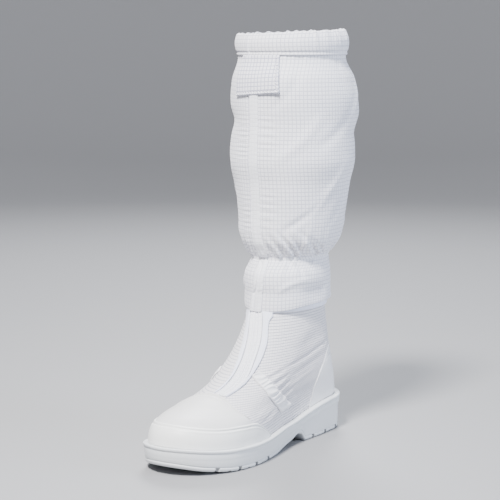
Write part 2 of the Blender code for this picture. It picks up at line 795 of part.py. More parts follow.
def make_heel_counter():
    back_height = COUNTER_HEIGHT - lip_height(0.0)
    top = []
    bottom = []
    for side in (1, -1):
        top_line = []
        bottom_line = []
        for row in COUNTER_EDGE:
            turn, level = spot_on_side(row.share, row.height * COUNTER_HEIGHT, side)
            top_line.append((turn if side > 0 else turn - 1.0, level))
            turn, level = spot_over_lip(turn_at(row.share * SOLE_LENGTH, side), GAP)
            bottom_line.append((turn if side > 0 else turn - 1.0, level))
        for turn in COUNTER_BACK_TURNS:
            top_line.append(spot_over_lip(side * turn, back_height))
            bottom_line.append(spot_over_lip(side * turn, GAP))
        top.append(top_line)
        bottom.append(bottom_line)
    top = top[0] + [spot_over_lip(0.0, back_height)] + top[1][::-1]
    bottom = bottom[0] + [spot_over_lip(0.0, GAP)] + bottom[1][::-1]
    top[0] = (bottom[0][0], top[0][1])
    top[-1] = (bottom[-1][0], top[-1][1])
    make_upper_overlay("heel_counter", (bottom, top), COUNTER_GRID, COUNTER_THICKNESS, LEATHER_LOOK)


# Edges of the elastic gusset, instep to sole: shares of SOLE_LENGTH and COLLAR_HEIGHT
GussetRow = namedtuple("GussetRow", "front_share front_height back_share back_height")
GUSSET_ROWS = [
    GussetRow(0.592, 0.555, 0.560, 0.574),
    GussetRow(0.594, 0.500, 0.546, 0.520),
    GussetRow(0.580, 0.440, 0.520, 0.460),
    GussetRow(0.548, 0.362, 0.472, 0.385),
    GussetRow(0.492, 0.268, 0.404, 0.288),
]


def make_side_gussets():
    def ripple(share):
        return GUSSET_RIB * (0.5 - 0.5 * cos(2.0 * pi * GUSSET_RIBS * share))

    for name, side in (("side_gusset_outer", 1), ("side_gusset_inner", -1)):
        front, back = [], []
        for row in GUSSET_ROWS:
            front.append(spot_on_side(row.front_share, row.front_height * COLLAR_HEIGHT, side))
            back.append(spot_on_side(row.back_share, row.back_height * COLLAR_HEIGHT, side))
        make_upper_overlay(name, (front, back), GUSSET_GRID, GUSSET_THICKNESS, FABRIC_LOOK, ripple)


# Edges of the instep placket, collar to vamp: rise from lip to collar, y as shares of BALL_WIDTH
PlacketRow = namedtuple("PlacketRow", "rise outer_y inner_y")
PLACKET_ROWS = [
    PlacketRow(0.995, 0.010, -0.145),
    PlacketRow(0.855, 0.068, -0.085),
    PlacketRow(0.710, 0.115, -0.020),
    PlacketRow(0.577, 0.145, 0.028),
    PlacketRow(0.460, 0.175, 0.055),
    PlacketRow(0.390, 0.165, 0.045),
    PlacketRow(0.366, 0.145, 0.025),
]


def make_instep_placket():
    outer = [spot_in_front(row.outer_y, row.rise) for row in PLACKET_ROWS]
    inner = [spot_in_front(row.inner_y, row.rise) for row in PLACKET_ROWS]
    edges = outer, inner
    make_upper_overlay("instep_placket", edges, INSTEP_PLACKET_GRID, PLACKET_THICKNESS, FABRIC_LOOK)


# Collar tape: the placket row it starts at, its top level, its corner as a share of its width,
# and the spots and turns between the two corners
BINDING_FROM = 3
COLLAR_TAPE_TOP = 0.996
COLLAR_CORNER = 1.6
COLLAR_TAPE_SPOTS = 13
COLLAR_TAPE_START, COLLAR_TAPE_END = 0.43, -0.39


def make_collar_binding():
    """Tape down beside the placket, round the collar's corner and along the collar."""
    beside = BINDING_CLEARANCE / BALL_WIDTH
    width = BINDING_WIDTH / BALL_WIDTH
    near = []
    far = []
    for side in (1, -1):
        near_line = []
        far_line = []
        for row in PLACKET_ROWS[BINDING_FROM::-1]:
            edge_y = row.outer_y if side > 0 else row.inner_y
            near_line.append(spot_in_front(edge_y + side * beside, row.rise))
            far_rise = min(row.rise, 1.0 - COLLAR_CORNER * BINDING_WIDTH / COLLAR_HEIGHT)
            far_line.append(spot_in_front(edge_y + side * (beside + width), far_rise))
        near.append(near_line)
        far.append(far_line)
    low_level = solve(lambda level: upper_point(0.0, level)[2], COLLAR_HEIGHT - BINDING_WIDTH, 0.5, 1.0)
    run = COLLAR_TAPE_END - COLLAR_TAPE_START
    ring_turns = [COLLAR_TAPE_START + run * share for share in even_shares(COLLAR_TAPE_SPOTS)]
    inner_near = [(turn - 1.0, level) for turn, level in near[1][::-1]]
    inner_far = [(turn - 1.0, level) for turn, level in far[1][::-1]]
    near_edge = near[0] + [(turn, COLLAR_TAPE_TOP) for turn in ring_turns] + inner_near
    far_edge = far[0] + [(turn, low_level) for turn in ring_turns] + inner_far
    edges = near_edge, far_edge
    make_upper_overlay("collar_binding", edges, BINDING_GRID, BINDING_THICKNESS, FABRIC_LOOK)


# Strip up the front of the shaft: height as a share of collar to top, y as shares of SHAFT_WIDTH
ShaftStripRow = namedtuple("ShaftStripRow", "height outer_y inner_y")
SHAFT_PLACKET_ROWS = [
    ShaftStripRow(0.012, 0.014, -0.110),
    ShaftStripRow(0.065, 0.045, -0.050),
    ShaftStripRow(0.165, 0.040, -0.045),
    ShaftStripRow(0.300, 0.015, -0.078),
    ShaftStripRow(0.550, 0.013, -0.070),
    ShaftStripRow(0.750, 0.014, -0.070),
    ShaftStripRow(0.900, 0.016, -0.065),
]


def shaft_spot(y_share, height_share):
    height = COLLAR_HEIGHT + height_share * (BOOT_HEIGHT - COLLAR_HEIGHT)
    y = y_share * SHAFT_WIDTH
    return solve(lambda turn: -shaft_point(turn, height)[1], -y, *FRONT_TURNS), height


def make_shaft_placket():
    outer = [shaft_spot(row.outer_y, row.height) for row in SHAFT_PLACKET_ROWS]
    inner = [shaft_spot(row.inner_y, row.height) for row in SHAFT_PLACKET_ROWS]
    make_overlay(
        "shaft_placket", SHAFT_FORM, shaft_offset, (outer, inner), SHAFT_PLACKET_GRID,
        GAP, PLACKET_THICKNESS, FABRIC_LOOK,
    )


# Rings of the cuff: shares of its height
CUFF_RINGS = (0.0, 0.55, 1.0)


def make_top_cuff():
    """Gathered casing round the top edge, its gathers growing towards the edge."""
    outer = []
    inner = []
    for up in CUFF_RINGS:
        height = BOOT_HEIGHT - CUFF_HEIGHT * (1.0 - up)
        outer_ring = []
        inner_ring = []
        for i in range(CUFF_TURNS):
            turn = i / CUFF_TURNS
            gather = CUFF_GATHER * up * cos(2.0 * pi * CUFF_GATHERS * turn)
            outer_ring.append(shaft_offset(turn, height, CUFF_EASE + CUFF_THICKNESS + gather))
            inner_ring.append(shaft_offset(turn, height, CUFF_EASE))
        outer.append(outer_ring)
        inner.append(inner_ring)
    return wall_between("top_cuff", outer, inner, FABRIC_LOOK)


# Turns of the flap's two sides, and how much higher its outer corner ends
FLAP_OUTER_TURN, FLAP_INNER_TURN = 0.431, 0.585
FLAP_LIFT = 0.10


def make_closure_flap():
    """Square tab under the cuff, held on the inner side and free on the outer side."""
    seat = GAP + PLACKET_THICKNESS + GAP
    top = BOOT_HEIGHT - CUFF_HEIGHT - GAP
    bottom = top - FLAP_HEIGHT
    first = [(FLAP_OUTER_TURN, top), (FLAP_INNER_TURN, top)]
    last = [(FLAP_OUTER_TURN, bottom + FLAP_LIFT * FLAP_HEIGHT), (FLAP_INNER_TURN, bottom)]
    make_overlay(
        "closure_flap", SHAFT_FORM, shaft_offset, (first, last), FLAP_GRID,
        seat, FLAP_THICKNESS, FABRIC_LOOK,
    )


def stand_on_origin(longest, widest):
    """Put the origin on the floor under the middle of the two pieces that reach out furthest."""
    corners = np.array([vertex.co for piece in (longest, widest) for vertex in piece.data.vertices])
    middle = (corners.min(axis=0) + corners.max(axis=0)) / 2.0
    move = Matrix.Translation((-middle[0], -middle[1], 0.0))
    for piece in bpy.data.objects:
        piece.data.transform(move)


def make_all():
    outsole = make_outsole()
    cut_lugs(outsole)
    make_insole()
    make_walled_form("upper", UPPER_FORM, UPPER_WALL, FABRIC_LOOK)
    make_toe_guard()
    make_vamp()
    make_heel_counter()
    make_side_gussets()
    make_instep_placket()
    make_collar_binding()
    shaft = make_walled_form("shaft", SHAFT_FORM, SHAFT_WALL, FABRIC_LOOK)
    make_shaft_placket()
    make_top_cuff()
    make_closure_flap()
    stand_on_origin(outsole, shaft)


make_all()
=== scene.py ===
# %% [markdown]
# # A tall cleanroom boot for the left foot
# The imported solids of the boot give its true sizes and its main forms. This script dresses
# them: each solid is replaced by a finely meshed piece that keeps the same form and adds what
# a maker adds, such as gathers, seams, stitches and the weave of the cloth.
# Everything is in metres. +X points to the toe, +Y to the outer side and +Z up.

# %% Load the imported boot
from math import cos, pi, radians, sin

import bpy
import numpy as np
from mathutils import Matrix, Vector


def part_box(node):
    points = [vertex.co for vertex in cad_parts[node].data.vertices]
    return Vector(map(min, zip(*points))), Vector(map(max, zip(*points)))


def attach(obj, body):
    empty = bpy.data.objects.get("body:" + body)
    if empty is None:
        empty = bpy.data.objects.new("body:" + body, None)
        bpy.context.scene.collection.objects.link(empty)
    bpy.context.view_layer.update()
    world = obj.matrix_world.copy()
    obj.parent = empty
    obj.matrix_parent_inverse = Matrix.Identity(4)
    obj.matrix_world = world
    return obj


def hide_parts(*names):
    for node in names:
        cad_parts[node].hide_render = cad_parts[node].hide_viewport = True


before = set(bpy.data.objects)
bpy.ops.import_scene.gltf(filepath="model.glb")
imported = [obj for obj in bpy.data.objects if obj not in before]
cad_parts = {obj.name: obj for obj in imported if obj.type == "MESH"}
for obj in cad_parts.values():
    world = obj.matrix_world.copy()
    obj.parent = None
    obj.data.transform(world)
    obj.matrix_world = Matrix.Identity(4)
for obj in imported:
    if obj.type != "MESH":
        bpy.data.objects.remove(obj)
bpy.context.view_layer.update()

bpy.ops.object.select_all(action="DESELECT")

# %% [markdown]
# ## Sizes
# A boot is built on a last, so nearly every length follows from the length of the sole and
# the width at the ball. The tables below hold shares of those named sizes, and a smooth
# curve is drawn through each column.

# %% Named sizes and the tables of the sole
SOLE_LENGTH = 0.292
BALL_WIDTH = 0.103
HEEL_LIP_HEIGHT = 0.039
FOREPART_LIP_HEIGHT = 0.0224
TOE_LIP_RISE = 0.0056
TOE_SPRING = 0.009
ARCH_RISE = 0.010
COLLAR_HEIGHT = 0.148
BOOT_HEIGHT = 0.434
SHAFT_LENGTH = 0.146
SHAFT_WIDTH = 0.130
HEEL_ROUND = 0.036
TOE_ROUND = 0.062
LIP_OUT = 0.0026
LIP_WIDTH = 0.0042
FOOTBED_DEPTH = 0.007
UPPER_WALL = 0.0018
SHAFT_WALL = 0.0008
GAP = 0.0003
HEEL_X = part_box("outsole")[0].x + LIP_OUT
MM = 0.001

# share of the length from the heel, centre and half width as shares of the ball width
SOLE_PLAN = [
    (0.000, 0.000, 0.330), (0.120, 0.010, 0.335), (0.220, 0.017, 0.347), (0.340, 0.029, 0.330),
    (0.445, 0.036, 0.342), (0.550, 0.036, 0.396), (0.650, 0.022, 0.464), (0.735, 0.005, 0.500),
    (0.820, -0.012, 0.490), (0.900, -0.034, 0.478), (1.000, -0.068, 0.485),
]
# share of the length, part of the way up to the heel's lip, part of the toe's rise
SOLE_LIP = [
    (0.000, 1.00, 0.00), (0.205, 0.82, 0.00), (0.410, 0.23, 0.00), (0.520, 0.08, 0.00),
    (0.650, 0.00, 0.00), (0.855, 0.00, 0.22), (1.000, 0.00, 1.00),
]
# share of the length, part of the arch's rise, part of the toe spring
SOLE_UNDERSIDE = [
    (0.000, 0.30, 0.00), (0.030, 0.00, 0.00), (0.325, 0.00, 0.00), (0.345, 0.75, 0.00),
    (0.375, 1.00, 0.00), (0.420, 0.62, 0.00), (0.490, 0.25, 0.00), (0.560, 0.00, 0.00),
    (0.730, 0.00, 0.00), (0.820, 0.00, 0.08), (0.920, 0.00, 0.42), (1.000, 0.00, 1.00),
]


def curve_through(places, values):
    """Smooth function through a table's column; it never swings past the values."""
    places, values = np.array(places, float), np.array(values, float)
    steps = np.diff(places)
    slopes = np.diff(values) / steps
    tangents = np.empty(len(places))
    tangents[0], tangents[-1] = slopes[0], slopes[-1]
    same_way = slopes[:-1] * slopes[1:] > 0
    total = np.where(same_way, slopes[:-1] + slopes[1:], 1.0)
    tangents[1:-1] = np.where(same_way, 2.0 * slopes[:-1] * slopes[1:] / total, 0.0)

    def at(place):
        place = np.clip(place, places[0], places[-1])
        i = np.clip(np.searchsorted(places, place, side="right") - 1, 0, len(steps) - 1)
        t = (place - places[i]) / steps[i]
        low = values[i] * (1 + 2 * t) + tangents[i] * steps[i] * t
        high = values[i + 1] * (3 - 2 * t) + tangents[i + 1] * steps[i] * (t - 1)
        return low * (1 - t) ** 2 + high * t * t
    return at


def column_curves(table):
    columns = list(zip(*table))
    return [curve_through(columns[0], values) for values in columns[1:]]


centre_share, half_share = column_curves(SOLE_PLAN)
heel_part, lip_toe_part = column_curves(SOLE_LIP)
arch_part, spring_part = column_curves(SOLE_UNDERSIDE)


def lip_height(x):
    rise = HEEL_LIP_HEIGHT - FOREPART_LIP_HEIGHT
    share = x / SOLE_LENGTH
    return FOREPART_LIP_HEIGHT + rise * heel_part(share) + TOE_LIP_RISE * lip_toe_part(share)


def underside_height(x):
    return ARCH_RISE * arch_part(x / SOLE_LENGTH) + TOE_SPRING * spring_part(x / SOLE_LENGTH)


def rounded_ends(x, back, front, back_round, front_round):
    """Share of the width that is left where an outline closes towards its two ends."""
    to_back = np.clip((back + back_round - x) / back_round, 0.0, 1.0)
    to_front = np.clip((x - front + front_round) / front_round, 0.0, 1.0)
    return np.sqrt(1.0 - to_back ** 2) * np.sqrt(1.0 - to_front ** 2)


def outline_x(turn, back, front):
    """Turn 0 is the back, 0.25 the outer side, 0.5 the front and 0.75 the inner side."""
    return back + (front - back) * (1.0 - np.cos(2.0 * pi * turn)) / 2.0


def side_of(turn):
    return np.where(turn % 1.0 < 0.5, 1.0, -1.0)


def sole_outline(turn, out):
    x = outline_x(turn, -out, SOLE_LENGTH + out)
    half = BALL_WIDTH * half_share(x / SOLE_LENGTH) + out
    half = half * rounded_ends(x, -out, SOLE_LENGTH + out, HEEL_ROUND + out, TOE_ROUND + out)
    return x, BALL_WIDTH * centre_share(x / SOLE_LENGTH), side_of(turn) * half


print("sole", SOLE_LENGTH, "m long, lip from", round(float(lip_height(0.0)), 4), "m at the heel")

# %% [markdown]
# ## The lasted form of the upper
# The upper rises from the sole's lip to the collar. Each row of the table is a level
# section, and the face of the upper is the smooth skin through all of them. A second
# table does the same for the shaft, whose sections are nearly round.

# %% Sections of the upper and of the shaft
# rise from lip to collar, back and front drawn in as shares of the length, share of the sole's
# plan, half width as a share of the ball width, roundness of front and back
UPPER_SECTIONS = [
    (0.000, 0.0000, 0.0000, 1.00, 0.400, 0.22, 0.12), (0.000, 0.0000, 0.0000, 1.00, 0.400, 0.22, 0.12),
    (0.052, 0.0000, 0.0040, 1.00, 0.400, 0.22, 0.12), (0.113, 0.0030, 0.0130, 0.97, 0.390, 0.22, 0.13),
    (0.168, 0.0090, 0.0330, 0.86, 0.375, 0.23, 0.14), (0.207, 0.0140, 0.0640, 0.67, 0.362, 0.25, 0.15),
    (0.238, 0.0190, 0.1040, 0.46, 0.356, 0.27, 0.16), (0.269, 0.0240, 0.1490, 0.34, 0.354, 0.29, 0.17),
    (0.301, 0.0280, 0.1900, 0.26, 0.352, 0.31, 0.18), (0.339, 0.0325, 0.2380, 0.19, 0.350, 0.33, 0.19),
    (0.379, 0.0370, 0.2825, 0.13, 0.348, 0.35, 0.20), (0.435, 0.0420, 0.3270, 0.08, 0.345, 0.37, 0.22),
    (0.513, 0.0470, 0.3820, 0.04, 0.341, 0.40, 0.25), (0.610, 0.0490, 0.4370, 0.01, 0.336, 0.43, 0.30),
    (0.741, 0.0505, 0.4910, 0.00, 0.330, 0.46, 0.38), (0.870, 0.0530, 0.5290, 0.00, 0.325, 0.48, 0.46),
    (1.000, 0.0550, 0.5600, 0.00, 0.322, 0.50, 0.50),
]
# height from collar to top, centre as a share of the sole, half sizes as shares of the shaft's
SHAFT_SECTIONS = [
    (0.030, 0.248, 0.383, 0.308), (0.075, 0.251, 0.390, 0.316), (0.105, 0.250, 0.386, 0.312),
    (0.160, 0.235, 0.343, 0.281), (0.195, 0.229, 0.378, 0.323), (0.230, 0.226, 0.418, 0.370),
    (0.275, 0.223, 0.438, 0.392), (0.345, 0.220, 0.445, 0.415), (0.435, 0.219, 0.459, 0.442),
    (0.530, 0.217, 0.486, 0.485), (0.645, 0.211, 0.486, 0.485), (0.750, 0.208, 0.500, 0.500),
    (0.820, 0.218, 0.479, 0.477), (0.900, 0.226, 0.418, 0.419), (0.950, 0.226, 0.425, 0.427),
    (1.000, 0.230, 0.418, 0.419),
]
FEATHER_INSET = LIP_WIDTH + GAP
LAST_SECTION = len(UPPER_SECTIONS) - 1
LIP_LEVEL = 1.0 / LAST_SECTION
SECTION_CURVES = [
    curve_through(range(LAST_SECTION + 1), values) for values in zip(*UPPER_SECTIONS)
]


def upper_form(turn, level):
    """Point of the upper's face; level 0 is inside the sole's lip and 1 the collar."""
    turn, level = np.broadcast_arrays(np.asarray(turn, float), np.asarray(level, float))
    rise, back_in, front_in, foot, half_width, front_round, back_round = (
        curve(level * LAST_SECTION) for curve in SECTION_CURVES
    )
    back = FEATHER_INSET + back_in * SOLE_LENGTH
    front = SOLE_LENGTH - FEATHER_INSET - front_in * SOLE_LENGTH
    x = outline_x(turn, back, front)
    back_round = foot * (HEEL_ROUND - FEATHER_INSET) + (1.0 - foot) * back_round * (front - back)
    front_round = foot * (TOE_ROUND - FEATHER_INSET) + (1.0 - foot) * front_round * (front - back)
    half = foot * (BALL_WIDTH * half_share(x / SOLE_LENGTH) - FEATHER_INSET)
    half = half + (1.0 - foot) * half_width * BALL_WIDTH
    half = half * rounded_ends(x, back, front, back_round, front_round)
    y = foot * BALL_WIDTH * centre_share(x / SOLE_LENGTH) + side_of(turn) * half
    z = (1.0 - rise) * lip_height(x) + rise * COLLAR_HEIGHT
    z = z - np.clip(1.0 - level / LIP_LEVEL, 0.0, 1.0) * (FOOTBED_DEPTH - GAP)
    return np.stack([HEEL_X + x, y, z], axis=-1)


COLLAR_BACK, COLLAR_FRONT = (upper_form(turn, 1.0)[0] - HEEL_X for turn in (0.0, 0.5))
TUCK_INSET = UPPER_WALL + GAP
TUCK_ROW = (
    (COLLAR_BACK + COLLAR_FRONT) / 2.0,
    (COLLAR_FRONT - COLLAR_BACK) / 2.0 - TUCK_INSET,
    UPPER_SECTIONS[-1][4] * BALL_WIDTH - TUCK_INSET,
)
SHAFT_BOTTOM = COLLAR_HEIGHT - 0.010
shaft_table = [(SHAFT_BOTTOM, *TUCK_ROW), (COLLAR_HEIGHT, *TUCK_ROW)]
for height, centre, half_length, half_width in SHAFT_SECTIONS:
    shaft_table.append((
        COLLAR_HEIGHT + height * (BOOT_HEIGHT - COLLAR_HEIGHT),
        centre * SOLE_LENGTH, half_length * SHAFT_LENGTH, half_width * SHAFT_WIDTH,
    ))
shaft_centre, shaft_half_length, shaft_half_width = column_curves(shaft_table)


def shaft_form(turn, height):
    turn, height = np.broadcast_arrays(np.asarray(turn, float), np.asarray(height, float))
    x = shaft_centre(height) - shaft_half_length(height) * np.cos(2.0 * pi * turn)
    y = shaft_half_width(height) * np.sin(2.0 * pi * turn)
    return np.stack([HEEL_X + x, y, height], axis=-1)


def outward(form, turn, level, low, high):
    """Outward normal of a form, from points close by."""
    step = 0.0015
    above = np.minimum(level + step * (high - low), high)
    below = np.maximum(level - step * (high - low), low)
    along = form(turn + step, level) - form(turn - step, level)
    up = form(turn, above) - form(turn, below)
    normal = np.cross(up, along)
    return normal / np.linalg.norm(normal, axis=-1, keepdims=True)


print("collar from", round(COLLAR_BACK, 3), "to", round(COLLAR_FRONT, 3), "m from the heel")

# %% [markdown]
# ## Relief of the cloth
# Cloth is never a clean skin. Gathers run off each elastic, the seam puckers, and a few
# soft folds cross the quarter where the ankle bends. Each fold here is a soft ridge or
# trough along a short line, so its place and depth can be read in the boot's own sizes.
# The random ones come from one seeded generator, so the boot is the same each time.

# %% Ridges along lines, and gathers that run off an elastic
def bell(distance, width):
    return np.exp(-(distance / width) ** 2)


def between(value, low, high, soft):
    """1 inside a range, fading to 0 over a soft border."""
    return 1.0 / (1.0 + np.exp(-(value - low) / soft)) / (1.0 + np.exp((value - high) / soft))


def fold_along(x, z, start, end, width, depth):
    """Relief of one fold on the side of the boot, from start to end, fading at both."""
    start, end = np.array(start) * MM, np.array(end) * MM
    run = end - start
    length = np.hypot(*run)
    share = ((x - start[0]) * run[0] + (z - start[1]) * run[1]) / length ** 2
    across = ((x - start[0]) * run[1] - (z - start[1]) * run[0]) / length
    fade = between(share, 0.0, 1.0, 0.07)
    return depth * MM * fade * bell(across, width * MM)


def gather_set(seed, count, low, high):
    """Random folds round an elastic: turn, width and lean in turns, depth and reach shares."""
    rng = np.random.default_rng(seed)
    turns = (np.arange(count) + rng.uniform(-0.32, 0.32, count)) / count
    return list(zip(
        turns, rng.uniform(low, high, count), rng.uniform(-0.5, 0.5, count),
        rng.uniform(0.35, 1.0, count), rng.uniform(0.45, 1.0, count),
    ))


def gathers(turn, height, folds, at, reach, depth, lean=0.5):
    """Relief of gathers that start at a height and run up (reach > 0) or down from it."""
    run = (height - at) / reach
    relief = np.zeros(np.broadcast(turn, height).shape)
    for place, width, slant, strength, extent in folds:
        middle = place + slant * lean * 0.03 * run
        away = (turn - middle + 0.5) % 1.0 - 0.5
        spread = width * (1.0 + 0.8 * np.clip(run, 0.0, 1.5))
        fade = np.where(run > 0.0, np.exp(-(np.clip(run, 0.0, None) / extent) ** 1.5), 0.0)
        start = 1.0 - np.exp(-np.clip(run, 0.0, None) * 14.0)
        relief = relief + strength * fade * start * bell(away, spread)
    return depth * MM * relief


ELASTIC_HEIGHT = 0.1955
UP_GATHERS = gather_set(3, 44, 0.0045, 0.0095)
DOWN_GATHERS = gather_set(5, 27, 0.0045, 0.0130)
COLLAR_GATHERS = gather_set(8, 22, 0.0060, 0.0150)
CUFF_GATHERS = gather_set(11, 38, 0.0060, 0.0120)
SOFT_FOLDS = gather_set(21, 9, 0.0200, 0.0400)
print("gathers above the elastic:", len(UP_GATHERS))

# %% [markdown]
# The shaft's relief adds the gathers to folds placed one by one, a slow swelling, the groove of
# the elastic, and the sunk seam with its puckers beside the front strip.

# %% Relief of the shaft
STRIP_TURN, SEAM_BESIDE = 0.5235, 0.0040
STRIP_LOW, STRIP_HIGH = 0.203, 0.364
CUFF_BOTTOM = 0.4078


def swell(turn, height):
    """Slow uneven swelling, so that the loose cloth isn't a turned shape."""
    around = 2.0 * pi * turn
    up = height / 0.1
    waves = np.sin(2.0 * around + 2.1 * up) + 0.8 * np.sin(3.0 * around - 3.4 * up + 1.0)
    waves = waves + 0.7 * np.sin(5.0 * around + 4.6 * up + 2.0) + 0.5 * np.sin(7.0 * around - 6.3 * up)
    return waves * between(height, 0.225, 0.395, 0.010)


# turn and height where a soft slanting fold starts and ends, its width and its depth, mm
SLANTING_FOLDS = [
    (0.30, 0.262, 0.42, 0.226, 4.0, -1.5), (0.24, 0.292, 0.36, 0.240, 5.0, 1.6),
    (0.18, 0.300, 0.27, 0.232, 4.5, -1.3), (0.33, 0.345, 0.44, 0.300, 6.0, 1.2),
    (0.22, 0.352, 0.34, 0.312, 6.0, -1.2), (0.38, 0.392, 0.46, 0.352, 4.5, -0.8),
    (0.14, 0.395, 0.22, 0.345, 5.0, 1.2), (0.60, 0.300, 0.70, 0.250, 5.0, 1.4),
    (0.72, 0.380, 0.84, 0.320, 6.0, -1.4), (0.80, 0.300, 0.92, 0.245, 5.0, 1.5),
    (0.95, 0.370, 1.06, 0.300, 6.0, -1.3), (0.06, 0.270, 0.14, 0.222, 4.0, 1.3),
    (0.20, 0.168, 0.33, 0.160, 3.4, -1.4), (0.37, 0.189, 0.33, 0.176, 2.4, -1.5),
    (0.42, 0.162, 0.30, 0.172, 3.0, 1.2), (0.52, 0.193, 0.50, 0.174, 1.8, -1.8),
    (0.50, 0.175, 0.54, 0.156, 1.8, -1.8), (0.60, 0.188, 0.64, 0.162, 2.8, 1.2),
    (0.56, 0.186, 0.58, 0.165, 1.8, -1.0), (0.70, 0.182, 0.80, 0.164, 3.6, -1.4),
    (0.88, 0.170, 0.98, 0.184, 3.6, 1.4), (0.05, 0.162, 0.12, 0.182, 3.6, -1.3),
]
SHAFT_ROUND = 0.40


def slanting(turn, height):
    relief = np.zeros(np.broadcast(turn, height).shape)
    for start_turn, start_height, end_turn, end_height, width, depth in SLANTING_FOLDS:
        run_x, run_z = (end_turn - start_turn) * SHAFT_ROUND, end_height - start_height
        length = np.hypot(run_x, run_z)
        x = ((turn - start_turn + 0.5) % 1.0 - 0.5) * SHAFT_ROUND
        share = (x * run_x + (height - start_height) * run_z) / length ** 2
        across = (x * run_z - (height - start_height) * run_x) / length
        bow = 0.0035 * np.sin(pi * np.clip(share, 0.0, 1.0))
        relief = relief + depth * MM * between(share, 0.05, 0.95, 0.06) * bell(across - bow, width * MM)
    return relief


# turn at the elastic, how far the fold leans forward, its reach, width and depth in millimetres
ELASTIC_FOLDS = [
    (0.405, 0.049, 21, 2.6, -2.6), (0.360, 0.060, 23, 2.4, -2.8), (0.333, 0.051, 20, 2.0, -2.2),
    (0.272, 0.078, 24, 2.8, -2.6), (0.232, 0.089, 20, 2.4, -2.2), (0.450, 0.030, 17, 2.2, -1.8),
    (0.560, -0.020, 24, 2.8, -2.2), (0.610, -0.030, 20, 2.6, -2.0), (0.180, 0.050, 18, 2.6, -1.8),
    (0.690, -0.040, 22, 3.0, -2.0), (0.770, 0.020, 25, 2.8, -2.2), (0.850, 0.040, 20, 2.8, -2.0),
    (0.930, -0.030, 23, 3.0, -2.0), (0.010, 0.040, 21, 2.8, -2.0), (0.085, -0.035, 24, 3.0, -2.0),
]
ELASTIC_ROUND = 0.30
# turn, height, reach round the shaft and up it in millimetres, and lift of a broad form
BROAD_FORMS = [
    (0.650, 0.339, 26, 11, -3.2), (0.650, 0.306, 26, 13, 1.2), (0.150, 0.346, 28, 13, 3.0),
    (0.150, 0.325, 28, 8, -1.4), (0.640, 0.223, 20, 8, 1.2), (0.270, 0.163, 15, 6, -1.8),
    (0.340, 0.178, 14, 7, 0.8), (0.880, 0.350, 30, 16, -1.8), (0.820, 0.250, 26, 14, 1.4),
]


def elastic_folds(turn, height):
    """Leaning folds, a soft trough with a ridge beside it, that run up from the elastic."""
    relief = np.zeros(np.broadcast(turn, height).shape)
    for place, lean, reach, width, depth in ELASTIC_FOLDS:
        share = (height - ELASTIC_HEIGHT) / (reach * MM)
        away = ((turn - place - lean * share + 0.5) % 1.0 - 0.5) * ELASTIC_ROUND / MM
        strength = between(share, 0.06, 0.80, 0.20)
        trough = bell(away, width) - 0.55 * bell(away - 1.9 * width, 1.2 * width)
        relief = relief + depth * MM * strength * trough
    return relief


def broad_forms(turn, height):
    relief = np.zeros(np.broadcast(turn, height).shape)
    for place, middle, around, up, lift in BROAD_FORMS:
        away = ((turn - place + 0.5) % 1.0 - 0.5) * SHAFT_ROUND / MM
        relief = relief + lift * MM * bell(away, around) * bell((height - middle) / MM, up)
    return relief


def crown(height):
    """The folded top edge is drawn in a little by its elastic."""
    return -2.4 * MM * np.clip((height - BOOT_HEIGHT + 0.013) / 0.013, 0.0, 1.0) ** 2


def shaft_relief(turn, height):
    relief = gathers(turn, height, UP_GATHERS, ELASTIC_HEIGHT, 0.030, 2.0, 1.6)
    relief += gathers(turn, height, DOWN_GATHERS, ELASTIC_HEIGHT, -0.020, 1.5, 1.6)
    relief += gathers(turn, height, COLLAR_GATHERS, COLLAR_HEIGHT, 0.014, 1.2, 1.4)
    relief += gathers(turn, height, CUFF_GATHERS, CUFF_BOTTOM, -0.022, 1.3, 0.8)
    relief += gathers(turn, height, SOFT_FOLDS, ELASTIC_HEIGHT, 0.150, 1.6, 2.0)
    relief += slanting(turn, height) + 0.42 * MM * swell(turn, height)
    relief -= 2.0 * MM * bell(height - ELASTIC_HEIGHT, 2.4 * MM)
    beside = (turn % 1.0) - STRIP_TURN
    wobble = 1.1 * np.sin(height / 0.017) + 0.8 * np.sin(height / 0.0071 + 1.0)
    pucker = np.sin(2.0 * pi * height / 0.0056 + wobble + 14.0 * beside)
    second = np.sin(2.0 * pi * height / 0.0078 + 2.0 * wobble - 20.0 * beside)
    inner = between(beside, 0.006, 0.046, 0.005) * between(height, STRIP_LOW, STRIP_HIGH, 0.004)
    outer = between(beside, -0.072, -0.030, 0.007) * between(height, 0.215, 0.356, 0.006)
    uneven = 0.55 + 0.45 * np.sin(height / 0.0130 + 9.0 * beside + 2.0)
    relief += uneven * MM * (0.44 * inner * pucker + 0.40 * outer * second)
    relief += elastic_folds(turn, height) + broad_forms(turn, height) + crown(height)
    seam = 0.5 * bell(beside - 0.0092, 0.0026) - 1.6 * bell(beside - SEAM_BESIDE, 0.0022)
    relief += MM * seam * between(height, STRIP_LOW, STRIP_HIGH, 0.004)
    return relief


# %% [markdown]
# The upper's relief is laid out as it is seen from the side: a long seam falls from the
# heel to the instep, gathers run back from the elastic gusset, and small folds gather
# where the quarter meets the sole. Places are millimetres from the heel and above the floor.

